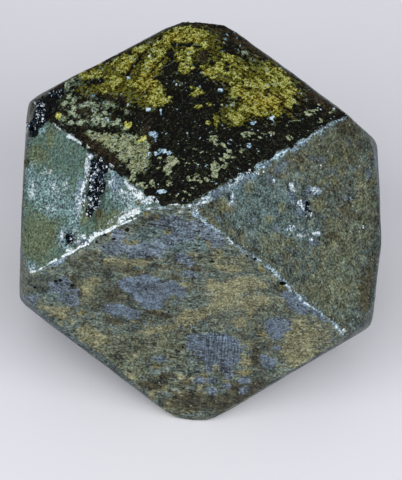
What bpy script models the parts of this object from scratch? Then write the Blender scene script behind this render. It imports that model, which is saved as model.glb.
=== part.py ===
"""One loose crystal of galena, about 27 mm wide, grown as a single piece.

Its form is a cube whose corners are cut off by octahedral faces, so that square faces and
triangular faces are nearly the same size. It rests on one of its cube faces.

Lengths are in millimetres in the tables and in metres in the finished mesh. The crystal is
drawn round its heart, and the finished mesh is moved so that the origin lies under the middle
of the crystal, on the surface that it rests on. X is along the longest way across, -Y is the
cube face at the front, and +Z is the dark cube face on top.
"""

import math

import bmesh
import bpy
from mathutils import Matrix, Vector, noise

MM = 0.001
NAME = "galena_crystal"

# Faces: which way each one looks, and how far it is from the heart
CUBE_FACES = {
    "top": ((-0.01, 0.02, 1.0), 11.3),
    "bottom": ((0.0, 0.0, -1.0), 11.75),
    "front": ((0.0, -1.0, -0.01), 9.95),
    "back": ((-0.04, 1.0, 0.0), 10.15),
    "left": ((-1.0, -0.04, -0.04), 13.35),
    "right": ((1.0, 0.085, 0.085), 13.5),
}
# A slow bend in the two side faces, where growth carried on a little further
BENT_FACES = {
    "left_low": ((-1.0, -0.01, -0.01), 13.4),
    "right_low": ((1.0, -0.025, -0.025), 13.7),
}
OCTAHEDRAL_FACES = {
    "left_front_top": ((-0.945, -0.99, 1.0), 14.3),
    "right_front_top": ((0.97, -1.0, 0.975), 11.9),
    "left_back_top": ((-0.87, 1.0, 0.94), 13.9),
    "right_back_top": ((0.915, 1.0, 0.955), 12.85),
    "left_front_bottom": ((-0.905, -0.955, -1.0), 13.0),
    "right_front_bottom": ((1.0, -1.0, -0.995), 13.4),
    "left_back_bottom": ((-1.0, 0.97, -1.0), 13.4),
    "right_back_bottom": ((0.97, 1.0, -1.0), 13.2),
}
FACES = {**CUBE_FACES, **BENT_FACES, **OCTAHEDRAL_FACES}
ROUGH_BLOCK = 40.0

# Edges and corners
EDGE_WEAR = 0.42
SHORTEST_EDGE = 0.75
MESH_LENGTH = 1.05
REFINING_PASSES = 9
EVENING_PASSES = 12

# Corners that are rounded off by wear: where each one is, how far round it, and how strongly
WORN_CORNERS = (
    ((-13.3, 0.5, 11.0), 4.2, 14),
    ((-13.2, -9.8, -0.2), 4.6, 15),
    ((13.2, 1.0, 8.2), 3.4, 9),
    ((12.4, -9.4, -1.3), 3.4, 7),
    ((1.0, -9.7, -11.6), 2.4, 2),
    ((0.0, 10.0, 11.0), 3.0, 3),
    ((13.0, 9.4, 0.0), 3.2, 7),
    ((-13.2, 9.6, 0.4), 3.2, 7),
    ((-2.0, -9.9, 11.3), 1.2, 1),
)

# Relief: height and breadth of the waves that keep the faces from being dead flat
SLOW_WAVE = (0.10, 7.0)
QUICK_WAVE = (0.05, 2.2)
FLAT_BELOW = 0.6

# The crust on the top face lies in an arch of rounded patches: x, y, half width, height
CRUST_GRAIN = (0.10, 0.9)
CRUST_PATCHES = (
    (-8.6, 1.6, 3.0, 0.10),
    (-5.6, 3.4, 3.2, 0.14),
    (-2.0, 7.0, 2.8, 0.16),
    (1.2, 6.0, 2.4, 0.14),
    (3.9, 3.4, 2.6, 0.18),
    (5.4, 2.0, 1.8, 0.16),
    (-9.0, -2.0, 2.2, 0.08),
)

# Cleavage pits: face, place across and up that face as seen from its front, size of the little
# block that broke out along X, Y and Z, and how far the block's middle stands proud
FRONT_PITS = (
    ("left_front_top", -8.15, 3.95, (0.9, 0.8, 1.0), 0.15),
    ("left_front_top", -8.00, 3.10, (1.3, 1.4, 1.6), 0.35),
    ("left_front_top", -7.85, 2.20, (1.6, 1.5, 1.7), 0.40),
    ("left_front_top", -7.70, 1.30, (1.5, 1.7, 1.5), 0.38),
    ("left_front_top", -7.80, 0.45, (1.3, 1.4, 1.4), 0.32),
    ("left_front_top", -7.95, -0.35, (0.9, 1.0, 0.9), 0.22),
    ("left_front_top", -7.10, 2.70, (0.7, 0.8, 0.7), 0.15),
    ("left_front_top", -8.75, 1.40, (0.8, 0.7, 0.9), 0.22),
    ("left_front_top", -9.40, -2.25, (1.1, 1.0, 0.9), 0.25),
    ("left_front_top", -10.00, -2.15, (0.8, 0.9, 0.7), 0.20),
    ("left_front_top", -13.35, 3.30, (0.8, 0.7, 0.9), 0.10),
    ("right_front_top", 6.55, 3.00, (0.8, 0.6, 0.7), 0.12),
    ("right_front_top", 7.00, 1.85, (0.6, 0.7, 0.8), 0.12),
    ("right_front_top", 7.70, 2.75, (0.9, 0.8, 0.7), 0.18),
    ("right_front_top", 8.55, 2.95, (0.8, 0.7, 0.8), 0.18),
    ("right_front_top", 7.70, 1.85, (0.5, 0.5, 0.9), 0.05),
    ("right_front_top", 8.05, 1.15, (0.6, 0.5, 1.0), 0.08),
    ("right_front_top", 8.80, -0.65, (0.7, 0.7, 0.7), 0.14),
    ("right_front_top", 11.10, 2.55, (0.7, 0.8, 0.7), 0.16),
    ("front", -10.40, -5.45, (0.6, 0.5, 0.5), 0.10),
    ("front", -9.00, -5.70, (0.5, 0.5, 0.5), 0.10),
    ("front", 1.20, -2.95, (0.8, 0.5, 0.4), 0.10),
    ("front", 6.45, -4.20, (0.7, 0.6, 0.5), 0.12),
    ("front", -4.40, -1.10, (0.5, 0.5, 0.5), 0.10),
    ("front", -0.50, -9.60, (0.5, 0.4, 0.5), 0.08),
)
# The same on the far side, seen from behind: across is X, up is along the view's own upright
BACK_PITS = (
    ("back", -4.0, 3.0, (1.6, 0.9, 1.1), 0.25),
    ("back", -3.0, 2.2, (1.2, 0.8, 0.9), 0.20),
    ("back", 6.5, -1.5, (0.7, 0.5, 0.6), 0.10),
    ("left_back_bottom", -7.5, -3.0, (1.6, 1.5, 1.4), 0.42),
    ("left_back_bottom", -6.6, -3.8, (1.2, 1.3, 1.2), 0.34),
    ("right_back_bottom", 8.0, -2.2, (1.0, 1.1, 0.9), 0.26),
    ("right_back_bottom", 5.2, -0.4, (0.7, 0.7, 0.8), 0.16),
)
# The broken corner at the upper left, which fell away in small cubes: middle and size
CORNER_BREAKS = (
    ((-13.25, -0.6, 11.3), (1.9, 2.0, 1.7)),
    ((-12.60, 0.4, 11.55), (1.6, 1.5, 1.2)),
    ((-13.55, -1.9, 10.5), (1.5, 1.6, 1.9)),
    ((-12.20, -1.5, 11.55), (1.3, 1.1, 0.9)),
    ((-13.60, 0.9, 10.3), (1.4, 1.7, 1.5)),
    ((-13.50, -2.9, 9.5), (1.1, 1.0, 1.2)),
    ((-11.50, -0.5, 11.60), (1.1, 1.3, 0.9)),
)
# Low ledges on the hidden faces, where the last layers of growth stopped short
LEDGES = (
    ((8.5, 12.75, -1.0), (9.0, 5.2, 6.5)),
    ((-10.5, 11.95, 3.2), (7.0, 5.0, 4.5)),
    ((15.9, 5.0, -4.0), (5.4, 6.0, 7.0)),
    ((-15.8, 5.5, -4.5), (5.4, 5.0, 6.0)),
)

COLOUR = (0.17, 0.185, 0.165, 1.0)
METALLIC = 0.45
ROUGHNESS = 0.5


def clear_scene():
    """Empty the scene of whatever it opened with."""
    for item in list(bpy.data.objects):
        bpy.data.objects.remove(item, do_unlink=True)


def new_collection(name, hidden=False):
    group = bpy.data.collections.new(name)
    group.hide_render = hidden
    bpy.context.scene.collection.children.link(group)
    return group


def face_plane(name):
    """The outward normal of a face and a point on it, in mm from the heart."""
    direction, distance = FACES[name]
    normal = Vector(direction).normalized()
    return normal, normal * distance


def galena_material():
    """Dull lead grey with a green tarnish."""
    material = bpy.data.materials.new("tarnished_galena")
    material.use_nodes = True
    shader = material.node_tree.nodes["Principled BSDF"]
    shader.inputs["Base Color"].default_value = COLOUR
    shader.inputs["Metallic"].default_value = METALLIC
    shader.inputs["Roughness"].default_value = ROUGHNESS
    material.diffuse_color = COLOUR
    return material


def cut_form(bm):
    """A block cut down to the crystal's faces, with its edges slightly worn."""
    bmesh.ops.create_cube(bm, size=ROUGH_BLOCK)
    for name in FACES:
        normal, point = face_plane(name)
        cut = bmesh.ops.bisect_plane(
            bm,
            geom=bm.verts[:] + bm.edges[:] + bm.faces[:],
            plane_co=point,
            plane_no=normal,
            clear_outer=True,
        )
        rim = [item for item in cut["geom_cut"] if isinstance(item, bmesh.types.BMEdge)]
        if rim:
            bmesh.ops.contextual_create(bm, geom=rim)
    bmesh.ops.dissolve_degenerate(bm, edges=bm.edges[:], dist=SHORTEST_EDGE)
    bmesh.ops.bevel(
        bm,
        geom=bm.edges[:],
        offset=EDGE_WEAR,
        segments=2,
        profile=0.5,
        affect="EDGES",
        clamp_overlap=True,
    )


def refine(bm):
    """Cut the faces into small, even triangles, so that they can carry relief."""
    bmesh.ops.triangulate(bm, faces=bm.faces[:])
    for _ in range(REFINING_PASSES):
        long_edges = [e for e in bm.edges if e.calc_length() > 1.4 * MESH_LENGTH]
        if not long_edges:
            break
        bmesh.ops.subdivide_edges(bm, edges=long_edges, cuts=1)
        bmesh.ops.triangulate(bm, faces=bm.faces[:])
        even_out(bm)


def even_out(bm):
    """Turn diagonals and slide points inside each flat face until its triangles are even."""
    flat = [e for e in bm.edges if e.is_manifold and e.calc_face_angle() < 0.01]
    bmesh.ops.beautify_fill(bm, faces=bm.faces[:], edges=flat, method="ANGLE")
    bent = {v for e in bm.edges if e.calc_face_angle() >= 0.01 for v in e.verts}
    loose = [v for v in bm.verts if v not in bent]
    for _ in range(EVENING_PASSES):
        bmesh.ops.smooth_vert(
            bm, verts=loose, factor=0.5, use_axis_x=True, use_axis_y=True, use_axis_z=True
        )


def wear_corners(bm):
    """Round off the corners that stuck out and were rubbed."""
    for place, reach, strength in WORN_CORNERS:
        middle = Vector(place)
        for step in range(strength):
            near = reach * (1.0 - 0.5 * step / strength)
            rubbed = [v for v in bm.verts if (v.co - middle).length < near]
            bmesh.ops.smooth_vert(
                bm,
                verts=rubbed,
                factor=0.5,
                use_axis_x=True,
                use_axis_y=True,
                use_axis_z=True,
            )


def crust_height(place):
    """How thick the granular crust on the top face is at a point."""
    if place.z < CUBE_FACES["top"][1] - 1.0:
        return 0.0
    cover = 0.0
    for x, y, reach, height in CRUST_PATCHES:
        away = math.hypot(place.x - x, place.y - y) / reach
        cover = max(cover, height * max(0.0, 1.0 - away**3))
    grain, breadth = CRUST_GRAIN
    return cover + (grain * noise.noise(place / breadth) if cover else 0.0)


def add_relief(bm):
    """Raise and sink the surface a little along its own direction, but leave the foot flat."""
    bm.normal_update()
    foot = -CUBE_FACES["bottom"][1] + FLAT_BELOW
    moves = {}
    for vert in bm.verts:
        if vert.co.z < foot:
            continue
        height = crust_height(vert.co)
        for amount, breadth in (SLOW_WAVE, QUICK_WAVE):
            height += amount * noise.noise(vert.co / breadth)
        moves[vert] = vert.normal * height
    for vert, move in moves.items():
        vert.co += move


def crystal_body(group, material):
    bm = bmesh.new()
    cut_form(bm)
    refine(bm)
    wear_corners(bm)
    add_relief(bm)
    bmesh.ops.triangulate(bm, faces=bm.faces[:])
    bmesh.ops.recalc_face_normals(bm, faces=bm.faces[:])
    bm.transform(Matrix.Scale(MM, 4))
    mesh = bpy.data.meshes.new(NAME)
    bm.to_mesh(mesh)
    bm.free()
    mesh.materials.append(material)
    body = bpy.data.objects.new(NAME, mesh)
    group.objects.link(body)
    return body


def block(name, middle, size, group):
    """A cube-shaped cutter that lies along the cleavage, which follows X, Y and Z."""
    bm = bmesh.new()
    bmesh.ops.create_cube(bm, size=1.0)
    bmesh.ops.scale(bm, verts=bm.verts[:], vec=Vector(size) * MM)
    bmesh.ops.translate(bm, verts=bm.verts[:], vec=Vector(middle) * MM)
    mesh = bpy.data.meshes.new(name)
    bm.to_mesh(mesh)
    bm.free()
    cutter = bpy.data.objects.new(name, mesh)
    cutter.hide_render = True
    cutter.display_type = "WIRE"
    group.objects.link(cutter)
    return cutter


def on_face(face, across, up, facing):
    """The point of a face that is seen at (across, up) by an eye 45 degrees above the front, or
    below the back where facing is -1."""
    normal, point = face_plane(face)
    seen = Vector((across, up * math.sqrt(0.5), up * math.sqrt(0.5)))
    towards = Vector((0.0, -1.0, 1.0)).normalized() * facing
    depth = normal.dot(point - seen) / normal.dot(towards)
    return seen + towards * depth, normal


def cleavage_cutters(group):
    cutters = []
    for facing, pits in ((1, FRONT_PITS), (-1, BACK_PITS)):
        for face, across, up, size, proud in pits:
            place, normal = on_face(face, across, up, facing)
            name = f"pit_{len(cutters)}"
            cutters.append(block(name, place + normal * proud, size, group))
    for number, (middle, size) in enumerate(CORNER_BREAKS):
        cutters.append(block(f"corner_break_{number}", middle, size, group))
    for number, (middle, size) in enumerate(LEDGES):
        cutters.append(block(f"ledge_{number}", middle, size, group))
    return cutters


def cut_away(body, cutters):
    for cutter in cutters:
        cut = body.modifiers.new(cutter.name, "BOOLEAN")
        cut.operation = "DIFFERENCE"
        cut.solver = "EXACT"
        cut.object = cutter


def set_down(body, cutters):
    """Move crystal and cutters so that the origin is under the crystal's middle."""
    corners = [vert.co for vert in body.data.vertices]
    low = Vector([min(corner[axis] for corner in corners) for axis in range(3)])
    high = Vector([max(corner[axis] for corner in corners) for axis in range(3)])
    shift = Vector((-(low.x + high.x) / 2, -(low.y + high.y) / 2, -low.z))
    for item in [body] + cutters:
        item.data.transform(Matrix.Translation(shift))


def main():
    clear_scene()
    solids = new_collection("galena")
    helpers = new_collection("cutters", hidden=True)
    body = crystal_body(solids, galena_material())
    cutters = cleavage_cutters(helpers)
    set_down(body, cutters)
    cut_away(body, cutters)


main()
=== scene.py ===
"""Looks of a loose galena crystal: tarnished metal faces, a dark crust on top, bright breaks."""

import math
import random
from contextlib import contextmanager
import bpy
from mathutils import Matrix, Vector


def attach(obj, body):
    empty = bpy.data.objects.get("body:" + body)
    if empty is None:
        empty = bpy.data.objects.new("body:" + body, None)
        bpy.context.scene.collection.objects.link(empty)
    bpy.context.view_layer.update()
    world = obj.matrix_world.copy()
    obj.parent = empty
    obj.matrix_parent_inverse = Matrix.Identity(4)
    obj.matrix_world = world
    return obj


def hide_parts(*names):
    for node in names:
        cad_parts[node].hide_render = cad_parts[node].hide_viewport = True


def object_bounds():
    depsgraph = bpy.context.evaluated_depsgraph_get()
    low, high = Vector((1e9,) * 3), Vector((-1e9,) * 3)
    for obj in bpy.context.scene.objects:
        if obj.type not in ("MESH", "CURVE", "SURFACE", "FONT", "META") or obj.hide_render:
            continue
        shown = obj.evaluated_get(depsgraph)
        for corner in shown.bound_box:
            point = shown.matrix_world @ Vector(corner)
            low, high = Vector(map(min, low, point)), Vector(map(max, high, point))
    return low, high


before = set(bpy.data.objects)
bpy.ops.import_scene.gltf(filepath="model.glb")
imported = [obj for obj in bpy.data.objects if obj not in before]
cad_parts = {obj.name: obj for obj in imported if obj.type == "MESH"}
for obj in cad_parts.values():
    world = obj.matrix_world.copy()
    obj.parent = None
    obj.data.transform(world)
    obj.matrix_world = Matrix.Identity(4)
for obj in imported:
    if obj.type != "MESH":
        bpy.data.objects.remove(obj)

from types import SimpleNamespace

import bmesh
import bpy
import numpy as np
from bpy.props import FloatProperty, FloatVectorProperty, IntProperty, PointerProperty
from mathutils import Matrix, Vector, noise
from mathutils.bvhtree import BVHTree

bl_info = {
    "name": "Galena crystal",
    "version": (1, 0, 0),
    "blender": (4, 5, 0),
    "location": "3D View > Sidebar > Galena",
    "description": "Models the surface of a tarnished galena crystal on its packed solid",
    "category": "Add Mesh",
}

CAD_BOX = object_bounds()
NODE = "galena_crystal"
BODY = "root"
MM = 0.001
# Near the top of the solid's box the surface is pressed together in this height
HEADROOM = 0.12 * MM
# Points closer than this are one. Steps that bend more than the first angle aren't smoothed,
# and edges that bend more than the second are shaded sharp.
SAME_PLACE = 0.002 * MM
SHARP_STEP = math.radians(24)
SHARP_LOOK = math.radians(32)
# Up to this height the crystal isn't smoothed, so it stands as the solid does
FOOT = 0.4 * MM
# Relief of the crystal in mm. The crust fills the tray in its top face, and stays in the box.
RIDGE_HEIGHT = 0.05
PINHOLE_DEPTH = 0.14
TRAY_DEPTH = 0.12
# The sheet that becomes the crust, in mm: its size, its middle from the heart, how far inside
# the edges of the top face it is cut, and how far off that face its points may land
SHEET_WIDE, SHEET_DEEP = 25.0, 21.0
SHEET_FROM_HEART = Vector((-1.4, 0.1, 14.0))
TRIM = 0.05
OFF_THE_TOP = 0.7
# How the crust lies at its rim and in the broken corner, in mm, and how far its wall goes down
RIM_LEVEL = -0.08
BROKEN_LEVEL = -0.15
WALL_DOWN = -0.4 * MM
# Cleavage blocks: from how far out in mm they are dropped on the crystal, their size in mm,
# their tilt in radians, their stretch along X, Y and Z, and the share of them that is sunk
OUTSIDE = 40
BLOCK_SIZES = (0.04, 0.13)
BLOCK_TILT = 0.07
BLOCK_STRETCH = ((0.5, 1.3), (0.5, 1.3), (0.7, 1.8))
BLOCK_SUNK = (0.2, 0.45)
# Distance of the lamps from the crystal's heart
LIGHT_DISTANCE = 0.5
# Grain that is drawn out upwards is also turned, which only picks another part of it
UPRIGHT_TURN = math.radians(-45)

# The crystal's heart in the frame, in mm, and how the picture sees it: from the front, 45
# degrees up, turned a little clockwise. Picture places are pixels of the 402 by 480 picture.
HEART = Vector((-0.05, -0.25, 11.75))
PICTURE_WIDE, PICTURE_HIGH = 402, 480
PICTURE_HEART = (200.0, 220.0)
PIXELS_PER_MM = 13.31
PICTURE_TURN = math.radians(4.6)
VIEW_UP = Vector((0.0, 1.0, 1.0)).normalized()
VIEW_OUT = Vector((0.0, -1.0, 1.0)).normalized()

# Faces of the crystal: which way each looks, and how far it is from the heart in mm
FACES = {
    "top": ((-0.01, 0.02, 1.0), 11.3),
    "front": ((0.0, -1.0, -0.01), 9.95),
    "left": ((-0.945, -0.99, 1.0), 14.3),
    "right": ((0.97, -1.0, 0.975), 11.9),
    "bottom": ((0.0, 0.0, -1.0), 11.75),
    "back": ((-0.04, 1.0, 0.0), 10.15),
    "left_side": ((-1.0, -0.04, -0.04), 13.35),
    "right_side": ((1.0, 0.085, 0.085), 13.5),
    "left_side_low": ((-1.0, -0.01, -0.01), 13.4),
    "right_side_low": ((1.0, -0.025, -0.025), 13.7),
    "left_back_top": ((-0.87, 1.0, 0.94), 13.9),
    "right_back_top": ((0.915, 1.0, 0.955), 12.85),
    "left_front_bottom": ((-0.905, -0.955, -1.0), 13.0),
    "right_front_bottom": ((1.0, -1.0, -0.995), 13.4),
    "left_back_bottom": ((-1.0, 0.97, -1.0), 13.4),
    "right_back_bottom": ((0.97, 1.0, -1.0), 13.2),
}
SHOWN = ("front", "left", "right")
# The crust's sheet is cut along these
MEET_THE_TOP = ("left", "front", "right", "left_back_top", "right_back_top", "back", "left_side")
# The broad noises that place the tarnish on the hidden faces: breadth in mm, and seed
HIDDEN_WAVES = ((2.6, 21), (3.4, 22), (2.2, 23), (4.2, 24), (1.8, 25))

# Patches of colour on the crystal, by tarnish, the shade and much of the blue painted shade and
# sheen. Each patch has a name, the face it lies on, and the spots it is made of: middle in the
# picture, half width and half height there, all in pixels, and for a slanting spot its turn in degrees.
PATCHES = {
    "slate": (
        ("smooth patch", "front", (150, 291, 19, 13), (132, 284, 13, 7), (146, 279, 10, 5),
         (168, 288, 12, 8, -10), (181, 292, 5, 6), (152, 303, 13, 6)),
        ("lower patch", "front", (118, 309, 14, 6, 10), (132, 314, 9, 5)),
        ("scratched patch", "front", (195, 337, 9, 4), (215, 346, 27, 13), (222, 358, 20, 7),
         (210, 366, 4, 6)),
        ("diamond patch", "front", (277, 325, 13, 9, -5), (276, 333, 8, 6)),
        ("ridge patches", "front", (297, 303, 14, 8, 40), (289, 296, 8, 5, 20), (318, 314, 10, 3, 40)),
        ("low right patches", "front", (264, 360, 4, 7, -20), (271, 363, 3.5, 7), (277, 348, 5, 2.5)),
        ("flecks by the break", "right", (288, 193, 4, 4), (308, 193, 6, 6), (300, 214, 5, 4),
         (275, 229, 4, 4), (302, 233, 4, 4), (316, 243, 4, 3)),
        ("flecks below the top ridge", "right", (276, 171, 5, 5), (283, 164, 5, 4), (269, 180, 4, 5),
         (321, 160, 6, 3), (312, 159, 4, 3), (220, 192, 9, 5, -20), (243, 179, 6, 6, -30),
         (232, 183, 8, 4, -30)),
        ("far flecks", "right", (346, 198, 4, 3), (253, 220, 3, 4), (218, 220, 3, 3), (336, 177, 2, 2),
         (367, 172, 3, 6)),
    ),
    # Thinner slate, without a clear rim
    "lilac": (
        ("left patches", "front", (71, 300, 9, 5, 10), (66, 284, 6, 8), (60, 287, 9, 6),
         (76, 292, 5, 5), (33, 300, 5, 6)),
        ("upper band", "front", (169, 222, 12, 6), (186, 231, 14, 10, -10), (163, 244, 13, 8, -30),
         (140, 251, 16, 7), (152, 250, 11, 6), (115, 248, 14, 6), (119, 235, 7, 6)),
        ("under the ridge", "front", (207, 232, 12, 8, 40), (214, 238, 11, 7, 35)),
        ("middle spots", "front", (183, 258, 9, 5, 20), (189, 263, 5, 4), (191, 274, 7, 3.5, 10)),
        ("foot spots", "front", (225, 368, 6, 5), (228, 375, 5, 4), (199, 380, 6, 4), (212, 380, 5, 4),
         (227, 386, 4, 3), (213, 391, 5, 4), (244, 380, 6, 3), (244, 390, 5, 3, -30), (161, 358, 7, 3)),
    ),
    "brown": (
        ("above the smooth patch", "front", (130, 271, 18, 4, 5), (140, 274, 10, 3)),
        ("round the smooth patch", "front", (115, 294, 10, 7, 20), (118, 290, 6, 4),
         (115, 321, 9, 3, 15), (108, 318, 4, 3), (156, 313, 14, 3, 10), (176, 277, 6, 2.5, 30)),
        ("left streaks", "front", (74, 280, 4, 6), (81, 292, 3, 8)),
        ("middle", "front", (193, 267, 8, 4, 10), (150, 258, 5, 3), (156, 219, 6, 5)),
        ("foot", "front", (205, 402, 46, 8), (235, 391, 8, 9), (225, 404, 12, 8, -20),
         (250, 390, 20, 6, -33), (150, 385, 14, 4, 10), (190, 382, 12, 2.5), (165, 376, 5, 3)),
        ("low spots", "front", (256, 355, 5, 10), (135, 338, 5, 3)),
        ("streaks", "right", (345, 211, 10, 2.5, 20), (352, 216, 8, 3, 25), (330, 236, 8, 4),
         (300, 160, 5, 4)),
        ("edges", "right", (368, 290, 8, 30, 5), (345, 128, 18, 8, 38)),
    ),
    "beige": (
        ("broad field", "front", (238, 286, 25, 9, -8), (214, 284, 8, 6), (224, 299, 20, 9, -30),
         (247, 303, 16, 9), (240, 322, 8, 7), (262, 300, 7, 7)),
        ("right field", "front", (301, 336, 22, 20), (296, 352, 18, 20, 10)),
        ("left field", "front", (95, 338, 16, 7, 5), (104, 338, 8, 5), (85, 330, 8, 5),
         (62, 310, 10, 9, 30), (45, 303, 7, 6, 20)),
        ("middle field", "front", (192, 316, 20, 7, -20), (163, 328, 24, 4, -12)),
        ("upper band", "front", (112, 262, 9, 4), (123, 265, 7, 3), (133, 262, 20, 4), (193, 253, 6, 3),
         (217, 254, 7, 5), (228, 268, 14, 4, 10)),
        ("small spots", "front", (185, 284, 6, 3), (157, 286, 5, 3), (94, 281, 9, 5, -10),
         (88, 290, 6, 6), (181, 376, 4, 3), (192, 378, 4, 2), (128, 376, 6, 4), (135, 354, 3, 3),
         (214, 366, 5, 5), (203, 376, 4, 4), (246, 372, 8, 3, -10), (245, 362, 7, 5), (152, 396, 6, 6),
         (170, 407, 6, 3), (200, 387, 3, 4), (190, 409, 14, 4), (226, 380, 4, 3)),
        ("foot", "front", (162, 388, 6, 4), (182, 395, 7, 4), (170, 401, 7, 4), (202, 394, 6, 3),
         (222, 397, 7, 4), (240, 385, 5, 3), (212, 404, 6, 3)),
        ("spots of khaki", "right", (229, 205, 9, 8), (268, 219, 5, 3), (281, 210, 4, 4),
         (310, 225, 4, 4)),
    ),
    "yellow": (
        ("by the slots", "front", (281, 286, 5, 3, 35), (262, 269, 4, 4), (250, 314, 4, 5),
         (261, 333, 4, 4)),
        ("upper spots", "front", (147, 214, 3.5, 4), (158, 218, 2.5, 4), (135, 242, 4.5, 2.5),
         (126, 241, 2, 2), (208, 243, 2.5, 4, -30), (168, 232, 5, 3)),
        ("low spots", "front", (157, 366, 5, 3), (246, 373, 6, 2, -10), (62, 318, 3, 3),
         (82, 312, 5, 3)),
        ("left spots", "left", (100, 214, 5, 6), (140, 203, 4, 3)),
        ("right spots", "right", (317, 206, 8, 7), (322, 182, 3, 3), (221, 206, 5, 7), (261, 173, 4, 2),
         (248, 187, 5, 7), (335, 181, 6, 5), (268, 220, 5, 5), (356, 178, 4, 6), (330, 163, 5, 6),
         (345, 153, 4, 6), (290, 241, 5, 4), (281, 207, 4, 5)),
    ),
    "olive": (
        ("left face", "left", (40, 236, 21, 24), (38, 154, 10, 10, 35), (84, 212, 6, 16),
         (110, 222, 18, 9, -25), (52, 140, 4, 12, 10)),
        ("front face", "front", (90, 292, 26, 12, 20), (150, 345, 40, 16), (125, 360, 26, 14, 38),
         (225, 262, 28, 8, 10)),
        ("right face", "right", (330, 150, 22, 18), (362, 215, 10, 34), (335, 285, 26, 26),
         (270, 240, 18, 12, 40), (340, 240, 20, 30)),
    ),
    "turquoise": (
        ("mottling", "left", (48, 190, 23, 18), (58, 206, 18, 12), (31, 182, 8, 18)),
        ("beside the breaks", "left", (66, 238, 8, 12), (76, 212, 8, 20), (116, 178, 10, 14, -25)),
        ("corners", "left", (30, 268, 8, 8), (42, 131, 5, 4, -30)),
        ("lilac field", "left", (128, 200, 20, 11, 20)),
    ),
    # A thin teal film
    "teal": (
        ("upper field", "right", (262, 205, 32, 32), (240, 186, 26, 14, -30), (300, 228, 18, 14)),
        ("bands", "front", (190, 245, 20, 8), (60, 298, 20, 8), (160, 235, 30, 17, -15)),
    ),
    # Broad dim places
    "shade": (
        ("under the white ridge", "front", (100, 272, 30, 8, -12), (88, 260, 20, 5, -25),
         (45, 283, 16, 8), (150, 221, 20, 5, -10)),
        ("round the smooth patch", "front", (122, 298, 30, 20)),
        ("foot", "front", (215, 402, 50, 12), (250, 384, 24, 8, -33), (262, 356, 8, 14)),
        ("upper right", "right", (335, 148, 30, 22), (350, 214, 14, 8), (372, 250, 6, 60)),
    ),
    # Light blue on the metal: dust, and painted sheen along the ridges and round the glints of the
    # breaks
    "blue": (
        ("under the top ridge", "right", (214, 195, 8, 5, -40), (236, 184, 10, 6, -30),
         (250, 176, 8, 6, -40)),
        ("ridge bits", "right", (254, 165, 5, 3), (264, 165, 6, 5, -30), (243, 180, 6, 6),
         (280, 153, 6, 2.5), (291, 150, 6, 2), (302, 143, 4, 4), (226, 189, 8, 4, -30),
         (205, 201, 6, 3, -20)),
        ("round the breaks", "right", (290, 187, 4, 4), (292, 200, 4, 7), (303, 207, 7, 8),
         (313, 191, 7, 4), (290, 229, 7, 3), (315, 234, 6, 3), (311, 241, 4, 4), (350, 199, 4, 2),
         (232, 202, 4, 7, 10)),
        ("beside the long break", "left", (80, 196, 4, 18, 5), (116, 184, 6, 9), (96, 152, 5, 5)),
        ("ridge bits, front", "front", (196, 214, 4, 5), (300, 300, 8, 4, 40), (60, 262, 10, 3, -30)),
    ),
}
# White chalk, and painted highlight along the ridges and at the glints: solid in the first table, in
# thin flecks in the second
WHITE = (
    ("long break, rim", "left", (85, 186, 1.6, 8, 12), (82, 202, 1.6, 9, 10), (90, 166, 1.6, 6, 5),
     (91, 156, 3, 3)),
    ("lilac field", "left", (133, 189, 5, 3, 20), (140, 195, 6, 4, 20), (147, 202, 6, 3, 10),
     (124, 193, 4, 2.5, 30)),
    ("above the ridge", "left", (134, 212, 10, 2, -28), (98, 234, 9, 3, -28)),
    ("small break", "left", (86, 238, 6, 3, 40), (72, 251, 6, 2.4), (63, 236, 1.4, 6)),
    ("between the strands", "left", (124, 219.5, 7, 2.8, -28), (133, 215.5, 8, 2.6, -25)),
    ("corner glints", "left", (37, 106, 3, 1.4), (27, 269, 3, 2)),
    ("by the meeting point", "right", (196, 210, 1.8, 5, -10), (204, 203, 4, 1.6, -30)),
    ("strip", "right", (232, 197, 1.6, 3), (230, 205, 1.6, 3)),
    ("crumbs", "right", (342, 331, 3, 3)),
)
WHITE_FLECKS = (
    ("mottling", "left", (34, 190, 5, 14, 10), (54, 190, 11, 9, 30), (66, 184, 4, 10), (50, 208, 12, 6),
     (50, 172, 12, 5)),
    ("lilac field", "left", (126, 196, 17, 9, 20)),
    ("beside the long break", "left", (80, 200, 5, 20, 5), (112, 182, 6, 8)),
    ("small break", "left", (76, 240, 13, 10)),
    ("along the ridges", "left", (34, 268, 9, 4, -20), (72, 139, 7, 3, 35), (104, 166, 12, 4, 40),
     (122, 216, 24, 5, -27)),
    ("top ridge", "right", (236, 181, 18, 4, -35), (206, 200, 8, 5)),
    ("breaks", "right", (291, 190, 4, 5), (302, 208, 6, 4), (315, 190, 5, 3), (305, 235, 12, 3)),
    ("meeting point", "front", (186, 212, 9, 3)),
)
# Where the tarnish is scratched
SCRATCHED = (("scratched patch", "front", (216, 352, 24, 20)),)
# Dark rims along the outline, painted shade where the faces turn away: points of a line in the picture
# with the half width there, in pixels
RIMS = (
    ("lower left", ((24, 300, 2), (45, 318, 3), (60, 329, 3.5), (78, 342, 3), (95, 353, 3),
                    (120, 372, 3), (145, 398, 2.5))),
    ("right", ((377, 150, 2), (378, 220, 2), (378, 260, 2), (368, 318, 2), (345, 340, 2.5),
               (300, 366, 2), (262, 390, 2.5))),
)
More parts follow.
